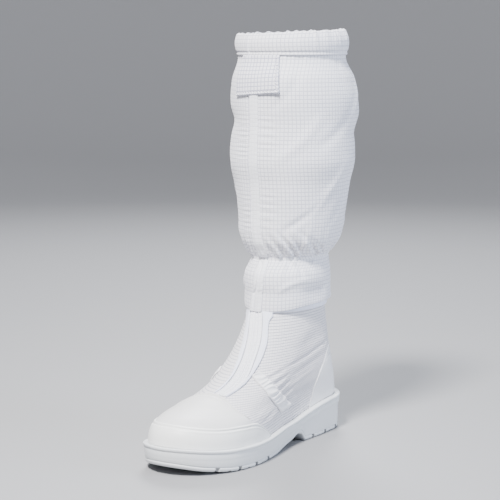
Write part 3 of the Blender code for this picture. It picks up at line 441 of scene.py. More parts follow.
# %% Relief of the upper
QUARTER_FOLDS = [
    ((48, 101), (92, 91), 1.5, -1.3), ((86, 92), (132, 84), 1.5, -1.1),
    ((52, 95), (112, 82), 3.4, 0.6), ((66, 86), (120, 74), 2.2, -0.5),
    ((78, 74), (128, 63), 2.2, 0.5), ((138, 86), (163, 79), 1.3, 1.3),
    ((132, 83), (162, 77), 1.1, -1.4), ((140, 78), (160, 73.5), 1.2, 1.4),
    ((128, 77), (157, 70), 1.1, -1.5), ((134, 72), (154, 67), 1.2, 1.4),
    ((124, 70), (151, 63.5), 1.1, -1.4), ((128, 66), (148, 60), 1.2, 1.4),
    ((118, 62), (145, 56.5), 1.1, -1.4), ((120, 58), (140, 53), 1.3, 1.3),
    ((112, 54), (134, 49), 1.2, -1.2), ((108, 50), (128, 45), 1.4, 1.0),
    ((104, 45), (120, 41), 1.3, -0.9), ((60, 122), (112, 113), 4.5, 0.4),
    ((58, 110), (118, 100), 4.0, -0.5), ((128, 42), (116, 34), 1.4, 1.1),
    ((121, 43), (108, 35), 1.2, -1.1), ((137, 40), (126, 33), 1.4, 1.0),
    ((142, 38), (132, 32), 1.1, -0.9),
]
FOREPART_FOLDS = [
    ((150, 37), (172, 32), 1.2, -0.8), ((152, 43), (178, 36), 1.4, 0.7),
    ((160, 46), (190, 39), 1.2, -0.8), ((170, 52), (200, 44), 1.6, 0.5),
    ((172, 60), (204, 51), 1.4, -0.5),
]


FOLD_STRENGTH = 0.62


def upper_relief(level, point):
    x, y, z = point[..., 0] - HEEL_X, point[..., 1], point[..., 2]
    on_side = between(np.abs(y), 0.016, 1.0, 0.003) * between(level, LIP_LEVEL + 0.03, 1.0, 0.012)
    relief = np.zeros(x.shape)
    for start, end, width, depth in QUARTER_FOLDS + FOREPART_FOLDS:
        relief += fold_along(x, z, start, end, width, FOLD_STRENGTH * depth)
    relief *= on_side
    padding = between(x, 0.062, 0.140, 0.012) * between(z, 0.095, 0.138, 0.008)
    relief += 0.8 * MM * padding * on_side
    return relief


def upper_skin(turn, level, offset=0.0):
    """Face of the upper with its folds, moved outwards by an offset."""
    turn, level = np.broadcast_arrays(np.asarray(turn, float), np.clip(level, 0.0, 1.0))
    point = upper_form(turn, level)
    normal = outward(upper_form, turn, level, 0.0, 1.0)
    lift = upper_relief(level, point) + offset
    return point + normal * np.asarray(lift)[..., None]


def settle(turn, height):
    """The empty shaft hangs a little lower at its front inner side."""
    drop = 2.4 * MM * (1.0 + np.cos(2.0 * pi * (turn - 0.62)))
    return height - drop * np.clip((height - CUFF_BOTTOM) / (BOOT_HEIGHT - CUFF_BOTTOM), 0.0, 1.0)


HANG, HANG_SIDE, HANG_FRONT = 0.012, 1.4, 6.8
# share of the hanging cloth from the collar's edge up, how far out, how high, and how much of the drop
HANG_PATH = np.array([
    (0.00, 0.0, 0.0, 0.00), (0.15, 0.8, 1.7, 0.00), (0.32, 4.2, 2.2, 0.00), (0.47, 6.8, 0.8, 0.50),
    (0.60, 8.2, 0.0, 0.97), (0.70, 9.4, 0.0, 0.97), (0.85, 9.9, 2.8, 0.40), (1.00, 9.6, 12.0, 0.00),
])
hang_out, hang_rise, hang_fall = (curve_through(HANG_PATH[:, 0], HANG_PATH[:, k]) for k in (1, 2, 3))


def puffed(turn, height, lift):
    normal = outward(shaft_form, turn, height, SHAFT_BOTTOM, BOOT_HEIGHT)
    return shaft_form(turn, settle(turn, height)) + normal * np.asarray(lift)[..., None]


def shaft_skin(turn, height, offset=0.0):
    """Face of the shaft; its lowest cloth rolls over the collar and hangs in front of it."""
    turn, height = np.broadcast_arrays(np.asarray(turn, float), np.asarray(height, float))
    point = puffed(turn, height, shaft_relief(turn, height) + offset)
    offset = np.broadcast_to(np.asarray(offset, float), turn.shape)
    hanging = (height > COLLAR_HEIGHT) & (height < COLLAR_HEIGHT + HANG) & (offset >= 0.0)
    if not hanging.any():
        return point
    share = np.clip((height - COLLAR_HEIGHT) / HANG, 0.0, 1.0)
    edge = np.full(turn.shape, COLLAR_HEIGHT)
    foot = shaft_form(turn, edge)
    out = outward(shaft_form, turn, edge - MM, SHAFT_BOTTOM, COLLAR_HEIGHT)
    end = puffed(turn, edge + HANG, shaft_relief(turn, edge + HANG) + offset)
    wave = np.sin(2.0 * pi * (3.0 * turn + 0.2)) + 0.6 * np.sin(2.0 * pi * (7.0 * turn + 0.5))
    drop = HANG_SIDE + HANG_FRONT * (0.5 - 0.5 * np.cos(2.0 * pi * turn)) ** 4 + 0.5 * wave

    def roll(share):
        up = hang_rise(share) - drop * hang_fall(share)
        return foot + MM * (out * hang_out(share)[..., None] + np.stack([0.0 * up, 0.0 * up, up], axis=-1))

    rest = (share ** 2)[..., None]
    hung = roll(share) + rest * (end - roll(np.ones(turn.shape))) + (1.0 - rest) * offset[..., None] * out
    return np.where(hanging[..., None], hung, point)


print("folds on the quarter and forepart:", len(QUARTER_FOLDS) + len(FOREPART_FOLDS))

# %% [markdown]
# ## Cloth from a flat grid
# A piece of cloth starts flat. The helper adds a grid primitive, then bends it to its place:
# every vertex of the grid knows how far across and along the cloth it lies. The cloth's own
# flat measure is kept as its UV map, in metres, so the woven grid runs with the cloth.

# %% Helper: bend a grid primitive into shape
def grid_rows(mesh, columns, rows):
    """Vertex numbers of a grid primitive as rows from low to high, each from left to right."""
    flat = np.empty(len(mesh.vertices) * 3)
    mesh.vertices.foreach_get("co", flat)
    flat = flat.reshape(-1, 3)
    order = np.lexsort((flat[:, 0].round(6), flat[:, 1].round(6)))
    return order.reshape(rows + 1, columns + 1)


def cloth_measure(points, anchor):
    """Flat coordinates of the cloth: along each row from an anchor column, and up that column."""
    across = np.linalg.norm(np.diff(points, axis=1), axis=2)
    u = np.concatenate([np.zeros((len(points), 1)), np.cumsum(across, axis=1)], axis=1)
    u = u - u[:, anchor:anchor + 1]
    up = np.linalg.norm(np.diff(points[:, anchor], axis=0), axis=1)
    v = np.concatenate([[0.0], np.cumsum(up)])
    return np.stack([u, np.broadcast_to(v[:, None], u.shape)], axis=-1)


def bend_grid(name, points, anchor=0, flip=False):
    """Object made of a grid primitive whose vertices are moved to rows of points."""
    rows, columns = points.shape[0] - 1, points.shape[1] - 1
    bpy.ops.mesh.primitive_grid_add(x_subdivisions=columns, y_subdivisions=rows, size=1.0)
    piece = bpy.context.object
    piece.name = piece.data.name = name
    mesh = piece.data
    order = grid_rows(mesh, columns, rows)
    placed = np.empty((len(mesh.vertices), 3))
    placed[order.ravel()] = points.reshape(-1, 3)
    mesh.vertices.foreach_set("co", placed.ravel())
    flat = np.empty((len(mesh.vertices), 2))
    flat[order.ravel()] = cloth_measure(points, anchor).reshape(-1, 2)
    corners = np.empty(len(mesh.loops), int)
    mesh.loops.foreach_get("vertex_index", corners)
    mesh.uv_layers.active.data.foreach_set("uv", flat[corners].ravel())
    if flip:
        mesh.flip_normals()
    mesh.update()
    return piece


def select_only(piece):
    """Make a piece the only selected object and the active one."""
    bpy.ops.object.select_all(action="DESELECT")
    bpy.context.view_layer.objects.active = piece
    piece.select_set(True)


def weld(piece, reach=1e-6):
    """Close seams and poles: vertices that lie on each other become one."""
    select_only(piece)
    bpy.ops.object.mode_set(mode="EDIT")
    bpy.ops.mesh.select_all(action="SELECT")
    bpy.ops.mesh.remove_doubles(threshold=reach)
    bpy.ops.mesh.normals_make_consistent(inside=False)
    bpy.ops.object.mode_set(mode="OBJECT")
    piece.select_set(False)


def smooth(piece, angle=50.0):
    select_only(piece)
    bpy.ops.object.shade_smooth_by_angle(angle=radians(angle))
    piece.select_set(False)


def thicken(piece, thickness):
    """Give a sheet its back by a Solidify modifier, applied."""
    modifier = piece.modifiers.new("thickness", "SOLIDIFY")
    modifier.thickness = thickness
    modifier.offset = -1.0
    select_only(piece)
    bpy.ops.object.modifier_apply(modifier=modifier.name)
    piece.select_set(False)


def dress(piece, finish, slot, *nodes):
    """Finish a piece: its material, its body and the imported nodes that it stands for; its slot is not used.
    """
    piece.data.materials.clear()
    piece.data.materials.append(finish)
    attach(piece, "root")
    if nodes:
        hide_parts(*nodes)
    print(piece.name, len(piece.data.polygons), "faces")


# %% [markdown]
# ## Finishes
# The cloth is a close white weave with a thin grey thread every 4 mm, both ways. The toe
# guard, vamp and counter are smooth coated leather, and the sole is a moulded foam rubber
# with a soft gloss. Each finish reads the cloth's UV map or the object's own coordinates.

# %% Small helpers for node materials
def new_finish(name, colour, roughness, **sockets):
    finish = bpy.data.materials.new(name)
    finish.use_nodes = True
    tree = finish.node_tree
    shader = tree.nodes["Principled BSDF"]
    shader.inputs["Base Color"].default_value = (*colour, 1.0)
    shader.inputs["Roughness"].default_value = roughness
    for socket, value in sockets.items():
        shader.inputs[socket.replace("_", " ")].default_value = value
    return finish, tree, shader


def node(tree, kind, inputs=(), **settings):
    made = tree.nodes.new(kind)
    for key, value in settings.items():
        setattr(made, key, value)
    for key, value in dict(inputs).items():
        if isinstance(value, bpy.types.NodeSocket):
            tree.links.new(value, made.inputs[key])
        else:
            made.inputs[key].default_value = value
    return made


def maths(tree, operation, *values):
    return node(tree, "ShaderNodeMath", dict(enumerate(values)), operation=operation).outputs[0]


def mix_colours(tree, share, first, second):
    inputs = {0: share, 6: first, 7: second}
    return node(tree, "ShaderNodeMix", inputs, data_type="RGBA").outputs[2]


def noise(tree, coordinates, scale, detail=3.0):
    made = node(tree, "ShaderNodeTexNoise", {"Vector": coordinates, "Scale": scale, "Detail": detail})
    return made.outputs[0]


def bump(tree, shader, height, distance, strength=1.0):
    made = node(tree, "ShaderNodeBump", {"Height": height, "Distance": distance, "Strength": strength})
    tree.links.new(made.outputs[0], shader.inputs["Normal"])

print("node helpers are ready")

# %% [markdown]
# The cloth is a white weave with a grey thread both ways. It is drawn from the flat layout in
# metres, so that the threads follow every fold.

# %% Grid cloth
THREAD_PITCH, THREAD_WIDTH = 0.0042, 0.17
WEAVE_PITCH = 0.0007


def thread_mask(tree, value, pitch):
    """1 on a thread that comes back every pitch, fading over its width."""
    place = maths(tree, "PINGPONG", maths(tree, "MULTIPLY", value, 1.0 / pitch), 0.5)
    made = node(tree, "ShaderNodeMapRange", {
        "Value": place, "From Min": THREAD_WIDTH, "From Max": 0.02, "To Min": 0.0, "To Max": 1.0,
    }, interpolation_type="SMOOTHSTEP")
    return made.outputs[0]


def grid_cloth(name, colour, thread_colour, share, pitch=THREAD_PITCH, puff=0.00016, upright=1.0):
    finish, tree, shader = new_finish(name, colour, 0.82, Sheen_Weight=0.25, Sheen_Roughness=0.5,
                                      Specular_IOR_Level=0.3)
    uv = node(tree, "ShaderNodeUVMap").outputs[0]
    parts = node(tree, "ShaderNodeSeparateXYZ", {"Vector": uv}).outputs
    across = maths(tree, "MULTIPLY", thread_mask(tree, parts[0], pitch), upright)
    along = thread_mask(tree, parts[1], pitch)
    threads = maths(tree, "MAXIMUM", across, along)
    cloud = noise(tree, uv, 26.0, 4.0)
    light = mix_colours(tree, maths(tree, "MULTIPLY", cloud, 0.35), (*colour, 1.0),
                        (*[c * 0.93 for c in colour[:2]], colour[2] * 0.965, 1.0))
    shade = maths(tree, "MULTIPLY", threads, maths(tree, "MULTIPLY_ADD", cloud, 0.5 * share, 0.75 * share))
    tree.links.new(mix_colours(tree, shade, light, (*thread_colour, 1.0)), shader.inputs["Base Color"])
    weave_u = maths(tree, "SINE", maths(tree, "MULTIPLY", parts[0], 2.0 * pi / WEAVE_PITCH))
    weave_v = maths(tree, "SINE", maths(tree, "MULTIPLY", parts[1], 2.0 * pi / WEAVE_PITCH))
    weave = maths(tree, "MULTIPLY", maths(tree, "MULTIPLY", weave_u, weave_v), 0.16)
    cell = maths(tree, "SUBTRACT", 1.0, threads)
    lint = maths(tree, "MULTIPLY", noise(tree, uv, 420.0), 0.5)
    height = maths(tree, "ADD", maths(tree, "ADD", cell, weave), lint)
    bump(tree, shader, height, puff, 0.8)
    return finish


CLOTH = (0.83, 0.83, 0.865)
THREAD_GREY = (0.40, 0.40, 0.50)
shaft_cloth = grid_cloth("shaft_grid_cloth", CLOTH, THREAD_GREY, 0.70)
upper_cloth = grid_cloth("upper_grid_cloth", (0.84, 0.82, 0.84), THREAD_GREY, 0.85, 0.0030, 0.00070,
                         upright=0.40)
placket_cloth = grid_cloth("placket_cloth", (0.84, 0.845, 0.885), THREAD_GREY, 0.18)
flap_cloth = grid_cloth("flap_cloth", (0.79, 0.79, 0.84), (0.36, 0.36, 0.48), 1.0)
print("grid cloths:", len(bpy.data.materials))

# %% [markdown]
# The smooth parts are coated leather with a fine pebbled grain, a moulded sole, tape, ribbed
# elastic and thread. A dark grey thread stands for the stitch holes of two seams and also paints the shade in
# their grooves.

# %% Coated leather, moulded sole, tape, elastic and thread
def coated(name, colour, roughness, grain, depth):
    finish, tree, shader = new_finish(name, colour, roughness, Coat_Weight=0.12, Coat_Roughness=0.3)
    place = node(tree, "ShaderNodeTexCoord").outputs["Object"]
    voronoi = node(tree, "ShaderNodeTexVoronoi", {"Vector": place, "Scale": grain}, feature="SMOOTH_F1")
    cells = voronoi.outputs[0]
    fine = noise(tree, place, grain * 2.2)
    broad = noise(tree, place, 34.0)
    low = [c * 0.955 for c in colour]
    tree.links.new(mix_colours(tree, broad, (*colour, 1.0), (*low, 1.0)), shader.inputs["Base Color"])
    height = maths(tree, "ADD", maths(tree, "MULTIPLY", cells, 0.7), maths(tree, "MULTIPLY", fine, 0.4))
    bump(tree, shader, height, depth, 0.5)
    rough = maths(tree, "MULTIPLY_ADD", fine, 0.12, roughness - 0.06)
    tree.links.new(rough, shader.inputs["Roughness"])
    return finish


def ribbed(name, colour, roughness, pitch, depth):
    """Cloth with fine ribs across its length, such as tape or elastic."""
    finish, tree, shader = new_finish(name, colour, roughness, Sheen_Weight=0.2, Sheen_Roughness=0.4)
    uv = node(tree, "ShaderNodeUVMap").outputs[0]
    parts = node(tree, "ShaderNodeSeparateXYZ", {"Vector": uv}).outputs
    rib = maths(tree, "SINE", maths(tree, "MULTIPLY", parts[0], 2.0 * pi / pitch))
    cross = maths(tree, "SINE", maths(tree, "MULTIPLY", parts[1], 2.0 * pi / (1.3 * pitch)))
    height = maths(tree, "ADD", rib, maths(tree, "MULTIPLY", cross, 0.5))
    grime = noise(tree, uv, 60.0)
    low = [c * 0.94 for c in colour]
    tree.links.new(mix_colours(tree, grime, (*colour, 1.0), (*low, 1.0)), shader.inputs["Base Color"])
    bump(tree, shader, height, depth, 0.5)
    return finish


guard_leather = coated("guard_leather", (0.86, 0.865, 0.855), 0.40, 900.0, 0.00006)
vamp_leather = coated("vamp_leather", (0.69, 0.685, 0.69), 0.52, 1100.0, 0.00006)
panel_leather = coated("panel_leather", (0.80, 0.795, 0.81), 0.50, 1100.0, 0.00006)
sole_rubber = coated("sole_rubber", (0.66, 0.68, 0.70), 0.38, 700.0, 0.00004)
tape_cloth = ribbed("tape_cloth", (0.80, 0.82, 0.93), 0.6, 0.0008, 0.00005)
elastic_cloth = ribbed("elastic_cloth", (0.86, 0.85, 0.875), 0.7, 0.0006, 0.00008)
lining_cloth = ribbed("lining_cloth", (0.78, 0.78, 0.79), 0.85, 0.0012, 0.00008)
thread_white = ribbed("thread_white", (0.84, 0.84, 0.87), 0.55, 0.0004, 0.00003)
# Dark grey thread: it stands for the stitch holes of two seams and also paints the shade that falls in their
# grooves.
dark_thread_and_painted_seam_shade = ribbed("dark_thread_and_painted_seam_shade", (0.44, 0.44, 0.50), 0.7, 0.0004, 0.00003)
print("finishes:", len(bpy.data.materials))

# %% [markdown]
# ## The moulded sole
# The sole is one piece of foam rubber: a tread, a slightly leaning side with a groove low
# down, and a raised bead along its lip where the upper goes in. A grid is rolled round the
# outline, row by row from the tread's middle up the side and down into the footbed.

# %% Model the sole
SOLE_COLUMNS = 300
HEEL_SIDE_END, FOREPART_SIDE_START = 0.36, 0.46
# height over the underside or under the lip, and how far out at the forepart and at the heel, mm
SOLE_SIDE = [
    (0.0, None, -1.8, -1.8), (0.5, None, -0.8, -0.8), (1.4, None, -0.1, -0.1), (2.6, None, 0.2, 0.2),
    (3.3, None, 0.15, 0.15), (3.6, None, -0.2, -0.2), (4.0, None, -0.35, -0.35), (4.4, None, -0.2, -0.2),
    (4.8, None, 0.2, 0.1), (5.4, None, 0.4, 0.2), (None, 10.9, 1.1, 0.5), (None, 10.2, 1.1, 0.6),
    (None, 9.7, 1.2, 1.5), (None, 9.0, 1.3, 1.8), (None, 4.4, 1.5, 2.0), (None, 3.8, 1.3, 1.7),
    (None, 3.3, 1.6, 1.9), (None, 2.5, 2.3, 2.5), (None, 1.6, 2.4, 2.6), (None, 0.8, 2.3, 2.4),
    (None, 0.2, 1.6, 1.7), (None, 0.0, 0.6, 0.7), (None, 0.0, -2.6, -2.6), (None, 0.4, -4.0, -4.0),
    (None, 7.0, -4.2, -4.2),
]


def sole_row(turn, above, below, fore_out, heel_out, across=1.0):
    rough = outline_x(turn, 0.0, SOLE_LENGTH) / SOLE_LENGTH
    part = np.clip((rough - HEEL_SIDE_END) / (FOREPART_SIDE_START - HEEL_SIDE_END), 0.0, 1.0)
    x, centre, half = sole_outline(turn, MM * (heel_out + (fore_out - heel_out) * part))
    z = lip_height(x) - below * MM if above is None else underside_height(x) + above * MM
    return np.stack([HEEL_X + x, centre + half * across, z], axis=-1)


turn_line = np.linspace(0.0, 1.0, SOLE_COLUMNS + 1)
across_line = np.linspace(0.0, 1.0, 7)
sole_rows = [sole_row(turn_line, 0.0, None, -1.8, -1.8, share) for share in across_line[:-1]]
sole_rows += [sole_row(turn_line, *row) for row in SOLE_SIDE]
sole_rows += [sole_row(turn_line, None, 7.0, -4.2, -4.2, share) for share in across_line[-2::-1]]
outsole = bend_grid("sole", np.array(sole_rows), SOLE_COLUMNS // 4)
weld(outsole)
print("sole rows:", len(sole_rows), "size", [round(d, 3) for d in outsole.dimensions])

# %% [markdown]
# The channels of the tread are cut with boxes and a Boolean modifier, as a mould maker would
# mill them: one across at every 25 mm, with a finer one between, and one lengthwise.

# %% Cut the tread
LUG_PITCH, LUG_DEPTH, LUG_CHANNEL = 0.025, 0.0042, 0.0045
FINE_DEPTH, FINE_CHANNEL = 0.0016, 0.0020
CUT_REACH = 0.1
LUG_RUNS = [(0.05, 0.325), (0.56, 0.97)]


def box_cutter(low, high):
    bpy.ops.mesh.primitive_cube_add(size=1.0)
    cube = bpy.context.object
    for vertex in cube.data.vertices:
        vertex.co = [(a + b) / 2.0 + (b - a) * c for a, b, c in zip(low, high, vertex.co)]
    return cube


def groove_across(x, width, depth):
    """Cutter of one groove across the tread, at metres from the heel."""
    low = (HEEL_X + x - width / 2, -CUT_REACH, -CUT_REACH)
    return box_cutter(low, (HEEL_X + x + width / 2, CUT_REACH, float(underside_height(x)) + depth))


def join(pieces, name):
    bpy.ops.object.select_all(action="DESELECT")
    for piece in pieces:
        piece.select_set(True)
    bpy.context.view_layer.objects.active = pieces[0]
    if len(pieces) > 1:
        bpy.ops.object.join()
    pieces[0].name = pieces[0].data.name = name
    pieces[0].select_set(False)
    return pieces[0]


def carve(piece, cutter):
    cut = piece.modifiers.new("cut", "BOOLEAN")
    cut.operation, cut.solver, cut.object = "DIFFERENCE", "EXACT", cutter
    select_only(piece)
    bpy.ops.object.modifier_apply(modifier=cut.name)
    piece.select_set(False)
    bpy.data.objects.remove(cutter, do_unlink=True)


wide, fine, lengthwise = [], [], []
for start, end in LUG_RUNS:
    run = (end - start) * SOLE_LENGTH
    count = int(run / LUG_PITCH)
    first = start * SOLE_LENGTH + (run - (count - 1) * LUG_PITCH) / 2.0
    for i in range(count):
        x = first + i * LUG_PITCH
        wide.append(groove_across(x, LUG_CHANNEL, LUG_DEPTH))
        if i < count - 1:
            fine.append(groove_across(x + LUG_PITCH / 2.0, FINE_CHANNEL, FINE_DEPTH))
    low = (HEEL_X + start * SOLE_LENGTH - LUG_PITCH, -LUG_CHANNEL / 2, -CUT_REACH)
    high = (HEEL_X + end * SOLE_LENGTH + LUG_PITCH, LUG_CHANNEL / 2, LUG_DEPTH)
    lengthwise.append(box_cutter(low, high))
for cutters in (wide, lengthwise, fine):
    carve(outsole, join(cutters, "tread_cutter"))
smooth(outsole, 40.0)
dress(outsole, sole_rubber, "sole", "outsole")
print("channels:", len(wide), "wide,", len(fine), "fine")

# %% [markdown]
# ## The insole
# A thin foam sheet covered with cloth lies in the footbed. It is a flat ring-shaped grid with
# rounded borders and a slight crown, closed above and below.

# %% Model the insole
INSOLE_ROWS = [
    (6.6, -7.6, 0.0), (6.6, -7.6, 0.5), (6.6, -7.6, 1.0), (6.3, -7.2, 1.0), (5.2, -7.0, 1.0),
    (4.2, -7.2, 1.0), (3.8, -7.8, 1.0), (3.6, -9.5, 1.0), (3.5, -12.0, 0.85), (3.4, -12.0, 0.5),
    (3.4, -12.0, 0.0),
]
insole_turns = np.linspace(0.0, 1.0, 161)
insole_rows = [sole_row(insole_turns, None, below, out, out, across) for below, out, across in INSOLE_ROWS]
insole = bend_grid("insole_pad", np.array(insole_rows), len(insole_turns) // 4)
weld(insole)
smooth(insole)
dress(insole, lining_cloth, "lining", "insole")

# %% [markdown]
# ## The lasted upper
# The upper is one thin wall from the footbed to the collar. The grid runs up its outer face,
# over the collar's edge and down its inner face, so it is a real wall that shows an open
# collar from above, never a filled block.

# %% Model the upper
def walled(name, skin, turns, outer_levels, inner_levels, wall, anchor_turn):
    outer = [skin(turns, level) for level in outer_levels]
    inner = [skin(turns, level, -wall) for level in inner_levels]
    points = np.array(outer + inner + [outer[0]])
    piece = bend_grid(name, points, int(np.searchsorted(turns, anchor_turn)))
    weld(piece)
    smooth(piece, 70.0)
    return piece


upper = walled("upper_cloth", upper_skin, np.linspace(0.0, 1.0, 301), np.linspace(0.0, 1.0, 176),
               np.linspace(1.0, 0.0, 40), UPPER_WALL, 0.25)
dress(upper, upper_cloth, "grid_fabric", "upper")

# %% [markdown]
# ## Places on the upper
# The overlays are laid out as a pattern maker would draw them: seen from the side, from the
# front or from above. These helpers find the turn and level of such a place on the upper.

# %% Find the turn and level of a place
def solve(function, target, low, high):
    """Places between low and high where a rising function reaches its target."""
    target = np.asarray(target, float)
    low, high = np.full(target.shape, low), np.full(target.shape, high)
    for _ in range(34):
        middle = (low + high) / 2.0
        below = function(middle) < target
        low, high = np.where(below, middle, low), np.where(below, high, middle)
    return (low + high) / 2.0


def level_of_rise(rise):
    return solve(lambda level: SECTION_CURVES[0](level * LAST_SECTION), rise, LIP_LEVEL, 1.0)


def turn_at(x, side, level=LIP_LEVEL):
    back, front = (upper_form(turn, level)[..., 0] - HEEL_X for turn in (0.0, 0.5))
    turn = np.arccos(1.0 - 2.0 * np.clip((x - back) / (front - back), 0.0, 1.0)) / (2.0 * pi)
    return turn if side > 0 else 1.0 - turn


def over_lip(turn, height):
    """Turn and level a height above the sole's lip."""
    turn = np.asarray(turn, float)

    def lift(level):
        point = upper_form(turn, level)
        return point[..., 2] - lip_height(point[..., 0] - HEEL_X)
    return np.stack([turn, solve(lift, np.broadcast_to(height, turn.shape), LIP_LEVEL, 1.0)], axis=-1)


def from_side(x, z, side=1):
    """Turn and level of a place seen from the side: millimetres from the heel and above the floor."""
    x, z = np.asarray(x, float) * MM, np.asarray(z, float) * MM
    lip = lip_height(x)
    level = level_of_rise((z - lip) / (COLLAR_HEIGHT - lip))
    return np.stack([turn_at(x, side, level), level], axis=-1)


def in_front(y, rise):
    """Turn and level on the instep: y in metres and the rise from lip to collar."""
    level = level_of_rise(rise)
    turn = solve(lambda place: -upper_form(place, level)[..., 1], -np.asarray(y, float), 0.30, 0.70)
    return np.stack([turn, level], axis=-1)


def from_above(x, y):
    """Turn and level on the instep seen from above, in metres."""
    x, y = np.asarray(x, float), np.asarray(y, float)

    def further_back(rise):
        turn, level = np.moveaxis(in_front(y, rise), -1, 0)
        return HEEL_X - upper_form(turn, level)[..., 0]
    return in_front(y, solve(further_back, -x, 0.2, 0.6))


def along(spots, share):
    """Smooth curve through the spots of an edge."""
    spots = np.asarray(spots)
    last = len(spots) - 1
    padded = np.concatenate([[2 * spots[0] - spots[1]], spots, [2 * spots[-1] - spots[-2]]])
    place = np.clip(share, 0.0, 1.0) * last
    i = np.minimum(place.astype(int), last - 1)
    t = (place - i)[..., None]
    a, b, c, d = (padded[i + k] for k in range(4))
    square, cube = 2 * a - 5 * b + 4 * c - d, 3 * b - a - 3 * c + d
    return 0.5 * (2 * b + (c - a) * t + square * t ** 2 + cube * t ** 3)


print("a place on the instep:", in_front(np.array([0.0]), np.array([0.5])).round(3))

# %% [markdown]
# ## Sewn panels
# Each overlay is a grid laid between two edges on the upper's skin, a little proud of it.
# Its border turns down softly, and a Solidify modifier gives it a back. Because it follows
# the skin below, a fold of the upper also shows in the panel on top of it.

# %% Helper: a panel between two edges
def border_shares(count, length, edge):
    """Shares across a panel, close together at both borders where it turns down."""
    near = np.array([0.0, 0.12, 0.35, 0.65, 1.0]) * edge / length
    middle = np.linspace(near[-1], 1.0 - near[-1], count + 1)[1:-1]
    return np.concatenate([near, middle, 1.0 - near[::-1]])


def border_lift(shares, length, edge):
    inside = np.clip(np.minimum(shares, 1.0 - shares) * length / edge, 0.0, 1.0)
    return np.sqrt(1.0 - (1.0 - inside) ** 2)


def panel(name, skin, first, last, columns, rows, seat, thickness, relief=None, edge=0.0012):
    """Sheet between two edges of a skin; relief(along, across) lifts it further."""
    coarse = np.linspace(0.0, 1.0, 25)
    start, end = skin(*along(first, coarse).T), skin(*along(last, coarse).T)
    length = np.linalg.norm(np.diff((start + end) / 2.0, axis=0), axis=1).sum()
    width = np.linalg.norm(end - start, axis=1).mean()
    a, b = border_shares(columns, length, edge), border_shares(rows, width, edge)
    first_line, last_line = along(first, a), along(last, a)
    spots = first_line[None] + (last_line - first_line)[None] * b[:, None, None]
    turn, level = spots[..., 0], spots[..., 1]
    lift = border_lift(a, length, edge)[None, :] * border_lift(b, width, edge)[:, None]
    offset = seat + thickness * (0.3 + 0.7 * lift)
    if relief is not None:
        offset = offset + lift * relief(a[None, :] + 0.0 * b[:, None], b[:, None] + 0.0 * a[None, :])
    points = skin(turn, level, offset)
    r, c = len(b) // 2, len(a) // 2
    face = np.cross(points[r, c + 1] - points[r, c], points[r + 1, c] - points[r, c])
    out = skin(turn[r, c], level[r, c], 0.001) - skin(turn[r, c], level[r, c])
    piece = bend_grid(name, points, c, flip=bool(face @ out < 0.0))
    thicken(piece, 0.8 * thickness)
    smooth(piece, 55.0)
    print(name, "is", round(length * 1000), "by", round(width * 1000), "mm")
    return piece


SEAT = 0.0004

# %% [markdown]
# ## Stitches
# One stitch is modelled as a small rounded grain, then copied along a seam at an even
# pitch. All stitches of a seam are one mesh.

# %% Helper: a row of stitches
bpy.ops.mesh.primitive_uv_sphere_add(segments=6, ring_count=4, radius=1.0)
stitch = bpy.context.object
STITCH_POINTS = np.array([vertex.co for vertex in stitch.data.vertices])
STITCH_FACES = [list(face.vertices) for face in stitch.data.polygons]
bpy.data.objects.remove(stitch, do_unlink=True)


def seam_line(skin, edge, shares, offset):
    turn, level = along(edge, shares).T
    return skin(turn, level, offset), skin(turn, level, offset + 0.001)


def sew(name, lines, pitch=0.0027, length=0.0019, width=0.00055, finish=None):
    """Rows of stitches along lines of (points, points a little above them)."""
    points, faces = [], []
    for line, above in lines:
        run = np.concatenate([[0.0], np.cumsum(np.linalg.norm(np.diff(line, axis=0), axis=1))])
        places = np.arange(pitch / 2.0, run[-1], pitch)
        here, ahead, up = (
            np.stack([np.interp(p, run, table[:, k]) for k in range(3)], axis=-1)
            for p, table in ((places, line), (places + 0.0005, line), (places, above))
        )
        forward = (ahead - here) / np.linalg.norm(ahead - here, axis=1, keepdims=True)
        normal = (up - here) / np.linalg.norm(up - here, axis=1, keepdims=True)
        sideways = np.cross(normal, forward)
        for spot, f, n, s in zip(here, forward, normal, sideways):
            grain = STITCH_POINTS * (length / 2.0, width / 2.0, width / 2.0)
            start = len(points) * len(STITCH_POINTS)
            points.append(spot + grain @ np.array([f, s, n]))
            faces += [[start + v for v in face] for face in STITCH_FACES]
    mesh = bpy.data.meshes.new(name)
    mesh.from_pydata(np.concatenate(points).tolist(), [], faces)
    mesh.uv_layers.new(name="UVMap")
    mesh.shade_smooth()
    piece = bpy.data.objects.new(name, mesh)
    bpy.context.scene.collection.objects.link(piece)
    dress(piece, finish or thread_white, "binding_tape")
    return piece


# %% [markdown]
# ## Toe guard, vamp and heel counter
# These three are smooth coated leather. The guard wraps the toe low down and carries a
# double line along its top edge. The vamp covers the toes up to a pressed seam, and the
# counter stiffens the heel under two rows of stitches.

# %% Model the toe guard
GUARD_HEIGHT = 0.020
GUARD_EDGE = [
    (0.606, 0.10), (0.641, 0.45), (0.687, 0.80), (0.733, 1.00), (0.800, 1.03),
    (0.870, 1.00), (0.930, 1.00), (0.965, 1.02),
]
GUARD_TIP = 1.04


def round_toe(rows, part, lift):
    """Edge round the toe from the outer to the inner side, a part of the guard's height up."""
    sides = []
    for side in (1, -1):
        turns = np.array([float(turn_at(share * SOLE_LENGTH, side)) for share, _ in rows])
        heights = np.array([lift + part * height * GUARD_HEIGHT for _, height in rows])
        sides.append(over_lip(turns, heights))
    tip = over_lip(np.array([0.5]), np.array([lift + part * GUARD_TIP * GUARD_HEIGHT]))
    return np.concatenate([sides[0], tip, sides[1][::-1]])


def guard_relief(share, across):
    height = across * GUARD_HEIGHT
    line = 0.45 * bell(height - 0.0188, 0.0008) - 0.55 * bell(height - 0.0172, 0.0006)
    return MM * (line + 0.25 * bell(height - 0.0158, 0.0009) + 0.5 * np.sin(pi * across))


